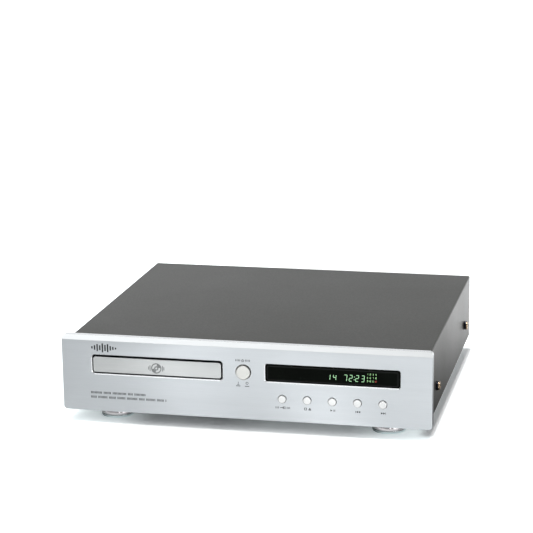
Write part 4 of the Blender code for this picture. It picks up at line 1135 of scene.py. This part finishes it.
def build_rack(low, high):
    """Toothed rack under the tray's right side, its teeth pointing left."""
    x = TRAY_X + 62.0  # pitch line
    pitch = math.pi  # of module 1 teeth
    width = 0.42 * math.pi  # of a tooth at the pitch line
    rise, dip = 0.8, 1.15  # tooth above and below the pitch line
    lean = math.tan(math.radians(20))
    start, end, back = 14.0, 186.0, x + 4.0
    anchor = 32.0  # y from which teeth are counted
    first = math.ceil((start + width - anchor) / pitch - 0.5)
    last = math.floor((end - width - anchor) / pitch - 0.5)
    outline = [(back, start), (x + dip, start)]
    for i in range(first, last + 1):
        middle = anchor + (i + 0.5) * pitch
        outline += [
            (x + dip, middle - width / 2 - dip * lean),
            (x - rise, middle - width / 2 + rise * lean),
            (x - rise, middle + width / 2 - rise * lean),
            (x + dip, middle + width / 2 + dip * lean),
        ]
    outline += [(x + dip, end), (back, end)]
    rack = lofted("tray_rack_v", prism("Z", outline, low, high))
    finish_piece(rack, "tray", TRAY_PLASTIC, "disc_tray")


# ------------------------------------------------------------------ studio floor (metres)
PLATE_Y = -0.197  # front plate's face
MIRROR_EYE = (0.4986, 1.8227)  # x, y of the camera mirrored in that face
# Glow of the floor from left to right: (x, strength).
FLOOR_GLOW = (
    (-0.24, 0.65), (-0.18, 0.35), (-0.15, 0.25), (-0.12, 0.05), (-0.03, 0.02), (0.03, 0.10),
    (0.12, 0.10), (0.17, 0.35), (0.21, 0.60),
)


def mirrored_gain(mat, x, y):
    """Floor brightness ahead of the player, as its front plate mirrors it."""
    # Where the plate mirrors this spot towards the lens.
    away = mat.minus(MIRROR_EYE[1], y)
    spread = mat.times(mat.minus(MIRROR_EYE[0], x), MIRROR_EYE[1] - PLATE_Y)
    plate_x = mat.minus(MIRROR_EYE[0], mat.math("DIVIDE", spread, away))

    def streak(centre, width, near, far):
        off = mat.math("ABSOLUTE", mat.minus(plate_x, centre))
        return mat.times(mat.step(off, 0.0, width, 1.0, 0.0), mat.step(y, -0.345, -0.56, near, far))

    drift = mat.times_plus(mat.plus(y, 0.23), 0.22, 0.108)
    across = mat.step(x, -0.42, 0.12, at_low=0.65, at_high=1.00)
    left_streak = streak(-0.067, width=0.080, near=0.20, far=0.98)
    right_streak = streak(drift, width=0.075, near=0.35, far=0.20)
    across = mat.plus(across, mat.plus(left_streak, right_streak))
    outward = mat.step(y, -0.62, -0.20, at_low=1.10, at_high=0.92)
    return mat.times(across, outward)


def flank_gain(mat, x, y):
    """Floor brightness beside the player, full underneath it."""
    near, far = 0.08, 1.95
    beside = mat.times_plus(mat.step(y, -0.18, 0.55), far - near, near)
    outside = mat.step(mat.math("ABSOLUTE", x), 0.185, 0.212)
    under = mat.minus(1.0, mat.times(outside, mat.step(y, -0.21, -0.17)))
    return mat.plus(mat.times(beside, mat.minus(1.0, under)), under)


def floor_glow(mat, x):
    ramp = mat.add("ShaderNodeValToRGB", {0: mat.times_plus(x, 2.0, 0.5)})
    ramp.color_ramp.interpolation = "LINEAR"
    elements = ramp.color_ramp.elements
    stops = [((at + 0.25) * 2.0, (value,) * 3 + (1,)) for at, value in FLOOR_GLOW]
    elements[0].position, elements[0].color = stops[0]
    elements[1].position, elements[1].color = stops[-1]
    for position, colour in stops[1:-1]:
        elements.new(position).color = colour
    return ramp.outputs[0]


def floor_material():
    """A glowing white table that looks different to the camera and to mirrored or bounced rays."""
    mat = Material("studio_floor")
    x, y, z = mat.axes("Object")
    cloud = mat.noise(scale=3.0)
    white = mat.mix(mat.ramp(cloud, 0.3, 0.7), (0.965, 0.972, 0.98), (0.985, 0.985, 0.985))
    ahead, flank = mirrored_gain(mat, x, y), flank_gain(mat, x, y)
    behind_face = mat.step(y, -0.22, -0.18)
    gain = mat.plus(
        mat.times(ahead, mat.minus(1.0, behind_face)), mat.times(flank, behind_face))
    seen = mat.add("ShaderNodeLightPath", {}).outputs["Is Camera Ray"]
    unseen = mat.minus(1.0, seen)
    # A painted shadow: a darker strip along the player's right side.
    strip_x = mat.times(mat.step(x, 0.195, 0.212), mat.step(x, 0.2165, 0.2225, 1.0, 0.0))
    strip_y = mat.times(mat.step(y, -0.190, -0.170), mat.step(y, 0.182, 0.196, 1.0, 0.0))
    strip = mat.times(strip_x, strip_y)
    strip_gain = mat.times_plus(mat.times(strip, mat.step(x, 0.206, 0.218)), -0.22, 1.0)
    gain = mat.plus(mat.times(seen, strip_gain), mat.times(gain, unseen))
    # The camera sees the whole glow; other rays get a weak even one ahead of the player and a
    # capped one under its front.
    curve = floor_glow(mat, x)
    even, cap = 0.125, 0.30
    close = mat.step(y, -0.212, -0.204)
    hidden = mat.times(mat.math("MINIMUM", curve, cap), mat.step(y, -0.150, -0.165))
    hidden = mat.plus(mat.times(hidden, close), mat.times(even, mat.minus(1.0, close)))
    lamp = mat.plus(mat.times(seen, curve), mat.times(unseen, hidden))
    # The glow is also cut along the painted shadow strip.
    lamp = mat.times(lamp, mat.minus(1.0, mat.times(strip, 0.95)))
    scaled = mat.add("ShaderNodeVectorMath", {}, operation="SCALE")
    mat.feed(scaled.inputs[0], white)
    mat.feed(scaled.inputs[3], gain)
    return mat.set(
        Base_Color=scaled.outputs[0], Roughness=0.6, Specular_IOR_Level=0.1,
        Emission_Color=(0.88, 0.99, 1.0), Emission_Strength=lamp,
    )


def build_floor():
    half = 5.0
    build = bmesh.new()
    corners = ((-half, -half), (half, -half), (half, half), (-half, half))
    build.faces.new([build.verts.new((x, y, 0.0)) for x, y in corners])
    floor = to_object("floor", build)
    floor.data.materials.append(floor_material())


# ------------------------------------------------------------------ lights
def softbox(name, azimuth, elevation, distance, width, height, radiance):
    """A rectangular light; azimuth runs from straight ahead of the player towards +x."""
    turn, rise = math.radians(azimuth), math.radians(elevation)
    aim = Vector((0.0, -0.1, 0.05))
    toward = Vector((
        math.sin(turn) * math.cos(rise), -math.cos(turn) * math.cos(rise), math.sin(rise)))
    location = aim + distance * toward
    light = bpy.data.lights.new(name, "AREA")
    light.shape = "RECTANGLE"
    light.size = width
    light.size_y = height
    light.energy = radiance * math.pi * width * height
    obj = bpy.data.objects.new(name, light)
    scene.collection.objects.link(obj)
    obj.location = location
    obj.rotation_euler = (aim - location).to_track_quat("-Z", "Y").to_euler()
    obj.visible_camera = False


def add_lights():
    softbox("right_box", azimuth=56, elevation=9, distance=1.7, width=0.85, height=0.50,
            radiance=3.6)
    softbox("front_strip", azimuth=20, elevation=8, distance=2.4, width=0.26, height=0.55,
            radiance=3.2)
    sun = bpy.data.lights.new("overhead", "SUN")
    sun.energy = 1.55
    sun.angle = math.radians(4.5)
    sun.color = (1.0, 0.985, 0.96)
    obj = bpy.data.objects.new("overhead", sun)
    scene.collection.objects.link(obj)
    obj.location = (0, 0, 2.5)


def build_world():
    """Plain white to the camera; to other rays a sky with brighter regions."""
    world = bpy.data.worlds.new("studio")
    scene.world = world
    world.use_nodes = True
    sky = Graph(world.node_tree)
    # Strengths: everywhere, the wall behind, the panel ahead and the overhead patch.
    base, wall_level, panel_level, zenith_level = 0.43, 1.25, 2.3, 0.8

    x, y, z = sky.axes("Generated")
    flat = sky.math("SQRT", sky.plus(sky.times(x, x), sky.times(y, y)))

    def heading(component):
        return sky.math("DIVIDE", component, sky.math("MAXIMUM", flat, 0.02))

    def window(value, rising, falling):
        """One between the two ranges, easing to zero over each."""
        return sky.times(sky.step(value, *rising), sky.minus(1.0, sky.step(value, *falling)))

    ahead = heading(sky.times(y, -1.0))
    sideways = heading(x)
    # The wall behind the player glows low down; a bright panel hangs in front, high on the left.
    wall = sky.times(sky.step(ahead, -0.1, -0.7), sky.minus(1.0, sky.step(z, 0.05, 0.50)))
    panel_side = window(sideways, rising=(-0.85, -0.62), falling=(-0.42, 0.0))
    panel_height = window(z, rising=(0.44, 0.60), falling=(0.82, 0.92))
    panel = sky.times(sky.times(panel_side, panel_height), sky.step(ahead, 0.2, 0.5))
    # Overhead, stronger towards the left.
    zenith = sky.times(
        sky.times(sky.step(z, 0.80, 0.93), zenith_level),
        sky.times_plus(sky.step(x, -0.20, -0.33), 0.85, 0.97))
    level = sky.plus(
        sky.times_plus(wall, wall_level, base), sky.times_plus(panel, panel_level, zenith))

    lit = sky.tree.nodes["Background"]
    sky.feed(lit.inputs["Color"], (0.975, 1.0, 1.015))
    sky.feed(lit.inputs["Strength"], level)
    seen = sky.add("ShaderNodeBackground", {"Color": (1, 1, 1), "Strength": 1.05})
    path = sky.add("ShaderNodeLightPath", {})
    inputs = {0: path.outputs["Is Camera Ray"], 1: lit.outputs[0], 2: seen.outputs[0]}
    mix = sky.add("ShaderNodeMixShader", inputs)
    sky.feed(sky.tree.nodes["World Output"].inputs["Surface"], mix.outputs[0])


# ------------------------------------------------------------------ camera
def add_camera():
    """Camera ahead, above and to the right, turned left and down; angles in radians."""
    yaw, pitch, roll = -0.21811256, 0.23280197, -0.01134583
    data = bpy.data.cameras.new("camera")
    data.sensor_width = 36.0
    data.lens = 126.9125628518
    data.shift_x = -0.03503001876
    data.shift_y = -0.03102626642
    data.clip_end = 50
    camera = bpy.data.objects.new("camera", data)
    scene.collection.objects.link(camera)
    forward = Vector((
        math.sin(yaw) * math.cos(pitch), math.cos(yaw) * math.cos(pitch), -math.sin(pitch)))
    level_right = Vector((math.cos(yaw), -math.sin(yaw), 0))
    level_up = level_right.cross(forward)
    right = math.cos(roll) * level_right + math.sin(roll) * level_up
    up = -math.sin(roll) * level_right + math.cos(roll) * level_up
    matrix = Matrix((right, up, -forward)).transposed().to_4x4()
    matrix.translation = point(498.628, -2019.691, 694.821)
    camera.matrix_world = matrix
    scene.camera = camera


# ------------------------------------------------------------------ build
for entry in frame["record"]["subparts"]:
    set_only_material(entry["node"], SLOT_MATERIAL[entry["material_slot"]])

build_front_plate()
build_door()
mark_plate()
mark_power()
mark_keys()
mark_door()
build_window()
build_display()
build_keys()
build_cover()
build_cover_screws()
for foot_tag in ("front_left", "front_right", "rear_left", "rear_right"):
    build_foot(foot_tag)
build_rear()
build_tray()
build_floor()
add_lights()
build_world()
scene.view_settings.view_transform = "Standard"
add_camera()
